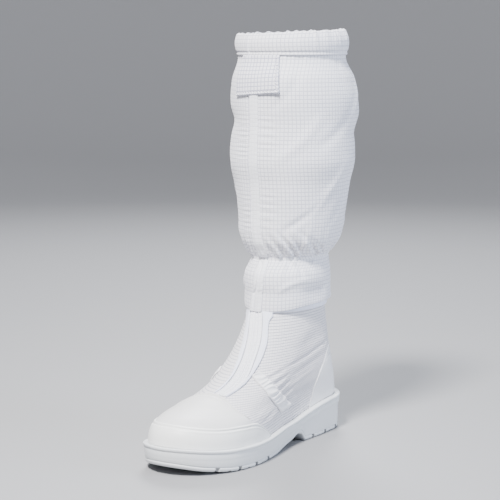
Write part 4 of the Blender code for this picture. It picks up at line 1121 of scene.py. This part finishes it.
guard_low, guard_top = round_toe(GUARD_EDGE, 0.0, -0.0008), round_toe(GUARD_EDGE, 1.0, 0.0)
toe_guard = panel("toe_guard_cap", upper_skin, guard_low, guard_top, 170, 76, SEAT, 0.0021, guard_relief,
                  edge=0.0010)
dress(toe_guard, guard_leather, "coated_leather", "toe_guard")

# %% [markdown]
# The vamp is a smooth panel with soft pressed ridges, lasted over the toe.

# %% Model the vamp
VAMP_FROM = 3
VAMP_SIDE = [(215.5, 47.1), (219.6, 52.1), (219.9, 57.4)]
VAMP_RIDGE = [(0.744, 0.220), (0.734, 0.120), (0.730, 0.000), (0.734, -0.120), (0.744, -0.220)]


def side_spots(places, side):
    x, z = np.array(places, float).T
    return from_side(x, z, side)


vamp_front = round_toe(GUARD_EDGE[VAMP_FROM:], 1.0, -0.0010)
ridge_x, ridge_y = np.array(VAMP_RIDGE).T
ridge = from_above(ridge_x * SOLE_LENGTH, ridge_y * BALL_WIDTH)
vamp_back = np.concatenate([side_spots(VAMP_SIDE, 1), ridge, side_spots(VAMP_SIDE, -1)[::-1]])


def vamp_relief(share, across):
    back = 1.0 - across
    seam = 0.60 * bell(back - 0.014, 0.016) - 1.00 * bell(back - 0.050, 0.015)
    return MM * (seam + 0.40 * bell(back - 0.088, 0.020))


vamp = panel("vamp_panel", upper_skin, vamp_front, vamp_back, 140, 110, 0.0005, 0.0013, vamp_relief,
             edge=0.0009)
dress(vamp, vamp_leather, "coated_leather", "vamp")
vamp_seam = vamp_front[:, None] + (vamp_back - vamp_front)[:, None] * np.array([0.955])[None, :, None]
sew("vamp_stitches", [seam_line(upper_skin, vamp_seam[:, 0], np.linspace(0.01, 0.99, 200), 0.0009)])

# %% [markdown]
# The heel counter wraps the back, with two rows of stitches under its top edge.

# %% Model the heel counter
COUNTER_FRONT = [
    (82.3, 34.0), (76.5, 46.0), (71.0, 59.0), (63.9, 70.0), (55.5, 81.0),
    (46.7, 92.0), (32.1, 98.0),
]
COUNTER_BACK_TURNS = (0.066, 0.033)
COUNTER_TOP = 0.100
COUNTER_LINES = (0.955, 0.900)
FOOT_TUCK = -0.0004


def counter_edges():
    low, top = [], []
    for side in (1, -1):
        spots = side_spots(COUNTER_FRONT, side)
        foot = over_lip(turn_at(np.array([x for x, _ in COUNTER_FRONT]) * MM, side), FOOT_TUCK)
        if side < 0:
            spots[:, 0] -= 1.0
            foot[:, 0] -= 1.0
        turns = side * np.array(COUNTER_BACK_TURNS)
        spots = np.concatenate([spots, over_lip(turns, COUNTER_TOP - float(lip_height(0.0)))])
        foot = np.concatenate([foot, over_lip(turns, FOOT_TUCK)])
        low.append(foot)
        top.append(spots)
    back = np.array([0.0])
    mid_low, mid_top = over_lip(back, FOOT_TUCK), over_lip(back, COUNTER_TOP - float(lip_height(0.0)))
    return (
        np.concatenate([low[0], mid_low, low[1][::-1]]), np.concatenate([top[0], mid_top, top[1][::-1]]),
    )


counter_low, counter_top = counter_edges()
counter_top[0, 0], counter_top[-1, 0] = counter_low[0, 0], counter_low[-1, 0]


def counter_relief(share, across):
    """Two pressed lines below the stitched edge."""
    return -0.75 * MM * sum(bell(across - line, 0.010) for line in COUNTER_LINES)


counter = panel("heel_counter_panel", upper_skin, counter_low, counter_top, 160, 110, 0.0001, 0.0006,
                counter_relief, edge=0.0016)
dress(counter, panel_leather, "coated_leather", "heel_counter")
shares = np.linspace(0.0, 1.0, 400)
sew("counter_stitches", [
    seam_line(upper_skin, counter_low + (counter_top - counter_low) * part, shares, 0.0002)
    for part in COUNTER_LINES
])

# %% [markdown]
# ## Elastic gussets
# On each side a strip of ribbed elastic runs from the instep down to the sole. The ribs are
# soft and uneven, because the elastic is sewn in stretched and then relaxes.

# %% Model the gussets
GUSSET_ROWS = [
    (172.9, 82.1, 163.5, 85.0), (173.4, 74.0, 159.4, 77.0), (169.4, 65.1, 151.8, 68.1),
    (160.0, 53.6, 137.8, 57.0), (143.7, 39.7, 118.0, 42.6),
]
GUSSET_RIBS = 10


def gusset_relief(share, across):
    wobble = 0.16 * np.sin(5.0 * share * pi + 2.0 * across) + 0.12 * np.sin(17.0 * share + 3.0 * across)
    rib = 0.5 - 0.5 * np.cos(2.0 * pi * (GUSSET_RIBS * share + wobble))
    uneven = 0.75 + 0.25 * np.sin(9.0 * share + 4.0 * across)
    border = 0.40 * bell(across - 0.08, 0.05) + 0.30 * bell(across - 0.92, 0.05)
    return MM * (1.5 * uneven * rib ** 1.5 * between(across, 0.1, 0.9, 0.04) + border)


def gentle_relief(share, across):
    return 0.5 * gusset_relief(share, across)


for side, place, ribs in ((1, "outer", gusset_relief), (-1, "inner", gentle_relief)):
    front = side_spots([row[:2] for row in GUSSET_ROWS], side)
    back = side_spots([row[2:] for row in GUSSET_ROWS], side)
    gusset = panel("gusset_" + place, upper_skin, front, back, 150, 30, 0.0003, 0.0009, ribs, edge=0.0013)
    dress(gusset, elastic_cloth, "elastic", "side_gusset_" + place)

# %% [markdown]
# ## Instep placket and collar tape
# A narrow strip with three raised lines covers the opening over the instep. A folded tape
# binds the collar, turns its corner and runs down beside the strip.

# %% Model the instep placket
PLACKET_ROWS = [
    (0.995, 0.010, -0.145), (0.855, 0.068, -0.085), (0.710, 0.115, -0.020), (0.577, 0.145, 0.028),
    (0.460, 0.178, 0.055), (0.400, 0.172, 0.046),
]
PLACKET_END = [(0.2120, 0.0138), (0.2120, 0.0020)]


def placket_relief(share, across):
    lines = sum(bell(across - place, 0.040) for place in (0.24, 0.52, 0.80))
    grooves = sum(bell(across - place, 0.030) for place in (0.33, 0.61, 0.89))
    uneven = 0.25 * np.sin(share * 60.0) * bell(across - 0.36, 0.10)
    return MM * (0.70 * lines - 0.75 * grooves + uneven)


rises, outer_y, inner_y = np.array(PLACKET_ROWS).T
ends = [from_above(np.array([x]), np.array([y])) for x, y in PLACKET_END]
placket_outer = np.concatenate([in_front(outer_y * BALL_WIDTH, rises), ends[0]])
placket_inner = np.concatenate([in_front(inner_y * BALL_WIDTH, rises), ends[1]])
placket = panel("instep_strip", upper_skin, placket_outer, placket_inner, 130, 44, SEAT, 0.0010,
                placket_relief)
dress(placket, placket_cloth, "grid_fabric", "instep_placket")

# %% [markdown]
# The tape goes round the collar and down both edges of the strip over the instep.

# %% Model the collar tape
BINDING_WIDTH = 0.008
# rise of the near and of the far edge, and the tape's width in millimetres, from its lower end up
TAPE_ROWS = [
    (0.405, 0.405, 1.8), (0.440, 0.440, 2.1), (0.480, 0.480, 2.5), (0.560, 0.556, 4.2),
    (0.640, 0.634, 5.0), (0.720, 0.710, 5.2),
    (0.790, 0.775, 5.2), (0.850, 0.825, 5.4), (0.910, 0.868, 6.6), (0.970, 0.900, 9.6),
]


def tape_edges():
    near, far = [], []
    near_rise, far_rise, width = np.array(TAPE_ROWS).T
    for side, edge in ((1, outer_y), (-1, inner_y)):
        beside = np.interp(near_rise, rises[::-1], edge[::-1]) * BALL_WIDTH + side * 0.3 * MM
        beyond = np.interp(far_rise, rises[::-1], edge[::-1]) * BALL_WIDTH + side * (0.3 + width) * MM
        x, y = (np.array([value]) for value in PLACKET_END[0 if side > 0 else 1])
        near.append(np.concatenate([from_above(x, y + side * 0.3 * MM), in_front(beside, near_rise)]))
        far.append(np.concatenate([from_above(x, y + side * 1.9 * MM), in_front(beyond, far_rise)]))
    foot = np.array(COLLAR_HEIGHT - BINDING_WIDTH)
    low = float(solve(lambda level: upper_form(0.0, level)[..., 2], foot, 0.5, 1.0))
    turns = np.linspace(0.428, -0.388, 13)
    for line in (near, far):
        line[1] = line[1][::-1] - (1.0, 0.0)
    top_line = np.stack([turns, np.full(13, 0.998)], axis=-1)
    low_line = np.stack([turns, np.full(13, low)], axis=-1)
    return np.concatenate([near[0], top_line, near[1]]), np.concatenate([far[0], low_line, far[1]])


def tape_relief(share, across):
    return MM * (0.35 * np.sin(pi * across) ** 0.5 - 0.3 * bell(across - 0.80, 0.06))


tape_near, tape_far = tape_edges()
tape = panel("collar_tape", upper_skin, tape_near, tape_far, 400, 16, SEAT, 0.0016, tape_relief, edge=0.0009)
dress(tape, tape_cloth, "binding_tape", "collar_binding")

# %% [markdown]
# ## The shaft
# The shaft is a loose tube of the grid cloth, drawn in above the ankle by an elastic. The
# cloth bunches into gathers on both sides of it, and that relief was laid out above.

# %% Model the shaft
SHAFT_TOP = BOOT_HEIGHT - 0.0018
seam_turns = STRIP_TURN + np.linspace(-0.002, 0.013, 18)
shaft_turns = np.unique(np.concatenate([np.linspace(0.0, 1.0, 311), seam_turns]))
shaft_levels = np.concatenate([
    np.linspace(SHAFT_BOTTOM, COLLAR_HEIGHT, 6)[:-1],
    np.linspace(COLLAR_HEIGHT, COLLAR_HEIGHT + HANG, 26)[:-1],
    np.linspace(COLLAR_HEIGHT + HANG, SHAFT_TOP, 218),
])
shaft = walled("shaft_cloth", shaft_skin, shaft_turns, shaft_levels, np.linspace(SHAFT_TOP, SHAFT_BOTTOM, 44),
               SHAFT_WALL, 0.5)
dress(shaft, shaft_cloth, "grid_fabric", "shaft")

# %% [markdown]
# A folded strip runs up the front of the shaft, over the hidden zip.

# %% Model the strip up the front
STRIP_ROWS = [
    (0.027, 0.022, -0.095), (0.065, 0.045, -0.050), (0.165, 0.040, -0.045), (0.300, 0.015, -0.078),
    (0.550, 0.013, -0.070), (0.750, 0.014, -0.070), (0.900, 0.016, -0.065),
]
share_up, strip_outer_y, strip_inner_y = np.array(STRIP_ROWS).T
strip_heights = COLLAR_HEIGHT + share_up * (BOOT_HEIGHT - COLLAR_HEIGHT)


def on_shaft(y, height):
    turn = solve(lambda place: -shaft_form(place, height)[..., 1], -np.asarray(y), 0.30, 0.70)
    return np.stack([turn, height], axis=-1)


def strip_relief(share, across):
    flat_side = 0.5 * np.clip(across / 0.35, 0.0, 1.0)
    return MM * (flat_side + 0.16 * np.sin(share * 90.0 + 3.0 * across) * (1.0 - across))


strip = panel("front_strip", shaft_skin, on_shaft(strip_outer_y * SHAFT_WIDTH, strip_heights),
              on_shaft(strip_inner_y * SHAFT_WIDTH, strip_heights), 260, 24, 0.0003, 0.0006,
              strip_relief, edge=0.0014)
dress(strip, placket_cloth, "grid_fabric", "shaft_placket")

# %% [markdown]
# A square tab under the cuff holds the front shut. One corner stands off a little.

# %% Model the closure flap
FLAP_TOP = BOOT_HEIGHT - 0.026
FLAP_WIDE, FLAP_HIGH = 52.0, 43.0
FLAP_SLOPE = 0.0043
FLAP_BOTTOM = FLAP_TOP - FLAP_HIGH * MM
FLAP_OUTER, FLAP_INNER = 0.437, 0.572


def flap_relief(share, across):
    """Rolled border, puckers along it and a free side that stands off a little."""
    right = share * FLAP_WIDE
    rim = np.minimum(right, (1.0 - across) * FLAP_HIGH)
    pucker = bell(rim - 3.0, 1.4) * np.sin(2.0 * pi * (right + across * FLAP_HIGH) / 3.4)
    free = np.clip(1.0 - share * 3.0, 0.0, 1.0) ** 2 * across
    return MM * (0.5 * bell(rim - 1.2, 0.9) - 0.65 * bell(rim - 3.0, 0.8) + 0.42 * pucker + 1.8 * free)


flap_turns = np.linspace(FLAP_OUTER, FLAP_INNER, 4)
flap_first = np.array([(turn, FLAP_TOP) for turn in flap_turns])
flap_last = np.array([
    (turn, FLAP_BOTTOM + FLAP_SLOPE * (1.0 - i / 3.0)) for i, turn in enumerate(flap_turns)
])
flap = panel("flap_square", shaft_skin, flap_first, flap_last, 100, 90, 0.0010, 0.0012, flap_relief,
             edge=0.0014)
dress(flap, flap_cloth, "grid_fabric", "closure_flap")

# %% [markdown]
# ## The top cuff
# The top edge is folded over an elastic and sewn down. The casing is smooth in front and
# bunches up towards the back. Its grid goes up outside, over the edge, down inside and back.

# %% Model the cuff
CUFF_SEAM_TURN = 0.540
CUFF_STITCHES = CUFF_BOTTOM + 0.0035
CUFF_LINING_END = 0.412
LUMPS = gather_set(31, 34, 0.0045, 0.0100)


def lumps(turn):
    total = np.zeros(np.shape(turn))
    for place, width, _, strength, _ in LUMPS:
        total = total + strength * bell((turn - place + 0.5) % 1.0 - 0.5, width)
    return total * (0.22 + 0.78 * (1.0 - between(turn % 1.0, 0.36, 0.62, 0.015)))


def cuff_point(turn, offset, height):
    up = np.clip((height - CUFF_BOTTOM) / (BOOT_HEIGHT - CUFF_BOTTOM), 0.0, 1.0)
    bunch = lumps(turn)
    seam = 0.9 * MM * bell(height - CUFF_STITCHES, 0.0012)
    puff = 2.6 * bunch * up ** 1.5 + 0.9 * np.sin(pi * up) * (offset > 0.0)
    lift = offset + MM * puff - seam * (offset > 0.001)
    join = (turn % 1.0) - CUFF_SEAM_TURN
    sunk = 0.7 * bell(join - 0.0050, 0.0035) - 1.5 * bell(join, 0.0024)
    lift = lift + MM * sunk * (offset > 0.0) + crown(height)
    place = settle(turn, height) + 1.5 * MM * bunch * up ** 3
    return shaft_form(turn, place) + np.asarray(lift)[..., None] * outward(
        shaft_form, turn, np.minimum(height, BOOT_HEIGHT), SHAFT_BOTTOM, BOOT_HEIGHT)


top = BOOT_HEIGHT - 0.0014
arc = np.linspace(0.0, pi, 9)
profile = [(0.0018, z) for z in np.linspace(CUFF_BOTTOM, top, 40)]
profile += [(0.0001 + 0.0017 * cos(a), top + 0.0014 * sin(a)) for a in arc[1:-1]]
profile += [(-0.0016, z) for z in np.linspace(top, CUFF_LINING_END, 16)]
profile += [(-0.0010, z) for z in np.linspace(CUFF_LINING_END, top, 16)]
profile += [(-0.0002 - 0.0008 * cos(a), top + 0.0005 * sin(a)) for a in arc[1:-1]]
profile += [(0.0006, z) for z in np.linspace(top, CUFF_BOTTOM, 24)]
profile += [profile[0]]
near_seam = CUFF_SEAM_TURN + np.linspace(-0.005, 0.009, 18)
cuff_turns = np.unique(np.concatenate([np.linspace(0.0, 1.0, 361), near_seam]))
cuff_rows = [cuff_point(cuff_turns, offset, np.full(len(cuff_turns), z)) for offset, z in profile]
cuff = bend_grid("cuff_casing", np.array(cuff_rows), len(cuff_turns) // 2)
weld(cuff)
smooth(cuff, 70.0)
dress(cuff, shaft_cloth, "grid_fabric", "top_cuff")

# %% [markdown]
# Rows of stitches close the cuff, the flap and the seam beside the front strip. The strip's seam
# and the cuff's join are sewn in dark grey thread, which also paints the shade that falls in their grooves.

# %% Sew the cuff and the flap
def cuff_seam(height, offset):
    line_turns = np.linspace(0.0, 1.0, 500)
    z = np.full(500, height)
    return cuff_point(line_turns, offset, z), cuff_point(line_turns, offset + 0.001, z)


sew("cuff_stitches", [cuff_seam(CUFF_STITCHES, 0.0019)])
join_heights = np.linspace(CUFF_BOTTOM + 0.0015, BOOT_HEIGHT - 0.0025, 40)
join_turns = np.full(40, CUFF_SEAM_TURN)
cuff_join = [cuff_point(join_turns, offset, join_heights) for offset in (0.0017, 0.0027)]
seam_heights = np.linspace(ELASTIC_HEIGHT + 0.004, FLAP_BOTTOM - 0.001, 60)
seam_edge = np.stack([np.full(60, STRIP_TURN + SEAM_BESIDE), seam_heights], axis=-1)
strip_seam = seam_line(shaft_skin, seam_edge, np.linspace(0.0, 1.0, 240), 0.0001)
# Dark grey stitches along the strip's seam and the cuff's join: painted shade in their grooves, as well as
# their stitch holes.
sew("seam_stitches", [cuff_join, strip_seam], pitch=0.0022, length=0.0018, width=0.0006, finish=dark_thread_and_painted_seam_shade)
flap_lines = []
for a, b in (((0.06, 0.02), (0.06, 0.94)), ((0.06, 0.94), (0.94, 0.94))):
    spots = []
    for t in np.linspace(0.0, 1.0, 8):
        u, v = a[0] + (b[0] - a[0]) * t, a[1] + (b[1] - a[1]) * t
        start, end = along(flap_first, np.array([u])), along(flap_last, np.array([u]))
        spots.append((start + (end - start) * v)[0])
    flap_lines.append(seam_line(shaft_skin, np.array(spots), np.linspace(0.0, 1.0, 80), 0.0030))
sew("flap_stitches", flap_lines)

# %% [markdown]
# ## What is cloth
# The upper is cut in panels and lasted over the foot form.

# %% [markdown]
# ## Floor, light and camera
# The floor is a plain pale sweep. A soft lamp stands high in front of the toe and grazes the
# outer side, so that folds show, and a wide cool one at the outer side keeps the shade
# blue-grey. A third behind draws the back edge, and a pale sky fills the rest. The camera stands where the
# photographer stood, seven degrees above the boot and in front of its outer side.

# %% Floor
FLOOR_RADIUS, SWEEP_RADIUS, SWEEP_HEIGHT = 2.6, 1.2, 3.4
bend = np.linspace(0.0, pi / 2.0, 13)
flat, wall = np.linspace(0.0, FLOOR_RADIUS, 9), FLOOR_RADIUS + SWEEP_RADIUS
radii = np.concatenate([flat, FLOOR_RADIUS + SWEEP_RADIUS * np.sin(bend[1:]), [wall]])
heights = np.concatenate([np.zeros(9), SWEEP_RADIUS * (1.0 - np.cos(bend[1:])), [SWEEP_HEIGHT]]) - 0.0002
angles = np.linspace(0.0, 2.0 * pi, 97)
sweep = np.stack([
    radii[:, None] * np.cos(angles), radii[:, None] * np.sin(angles), heights[:, None] + 0.0 * angles,
], axis=-1)
floor = bend_grid("floor", sweep, flip=True)
smooth(floor)
floor_paint, tree, shader = new_finish("floor_paint", (0.27, 0.27, 0.28), 0.6)
floor.data.materials.append(floor_paint)
print("floor", round(float(radii.max()) * 2.0, 1), "m across")

# %% Lights
def lamp(name, place, aim, size, power, colour):
    light = bpy.data.lights.new(name, "AREA")
    light.shape, light.size, light.energy, light.color = "DISK", size, power, colour
    stand = bpy.data.objects.new(name, light)
    stand.location = place
    stand.rotation_euler = (Vector(aim) - Vector(place)).to_track_quat("-Z", "Y").to_euler()
    bpy.context.scene.collection.objects.link(stand)
    return stand


BOOT_MIDDLE = (-0.03, 0.0, 0.20)
lamp("key", (1.35, 0.25, 2.05), BOOT_MIDDLE, 0.5, 200.0, (1.0, 0.99, 0.975))
lamp("fill", (-0.7, 2.1, 0.8), BOOT_MIDDLE, 1.4, 62.0, (0.72, 0.82, 1.0))
lamp("rim", (-1.5, -1.0, 1.6), BOOT_MIDDLE, 0.9, 60.0, (0.95, 0.97, 1.0))
world = bpy.data.worlds.new("studio")
world.use_nodes = True
world.node_tree.nodes["Background"].inputs["Color"].default_value = (0.80, 0.84, 0.92, 1.0)
world.node_tree.nodes["Background"].inputs["Strength"].default_value = 0.72
bpy.context.scene.world = world
print("lamps:", len(bpy.data.lights))

# %% Camera
PHOTO_PLACE = Vector((1.4007, 0.9419, 0.4260))
PHOTO_AIM = Vector((-0.7956, -0.5930, -0.1236)).normalized()
PHOTO_FOCAL = 1311.0
BOOT_PIXEL = (311.0, 255.0)
PHOTO_CENTRE = (250.0, 248.0)
ZOOM = 1.25
FRAME_PIXELS, SENSOR = 500.0, 36.0
right = PHOTO_AIM.cross(Vector((0.0, 0.0, 1.0))).normalized()
up = right.cross(PHOTO_AIM)
across, down = (BOOT_PIXEL[k] - PHOTO_CENTRE[k] for k in (0, 1))
aim = PHOTO_AIM * PHOTO_FOCAL + right * across - up * down
camera_data = bpy.data.cameras.new("camera")
camera_data.sensor_width = SENSOR
camera_data.lens = PHOTO_FOCAL * ZOOM / FRAME_PIXELS * SENSOR
camera = bpy.data.objects.new("camera", camera_data)
camera.location = PHOTO_PLACE
camera.rotation_euler = aim.to_track_quat("-Z", "Y").to_euler()
bpy.context.scene.collection.objects.link(camera)
bpy.context.scene.camera = camera
print("lens", round(camera_data.lens, 1), "mm")
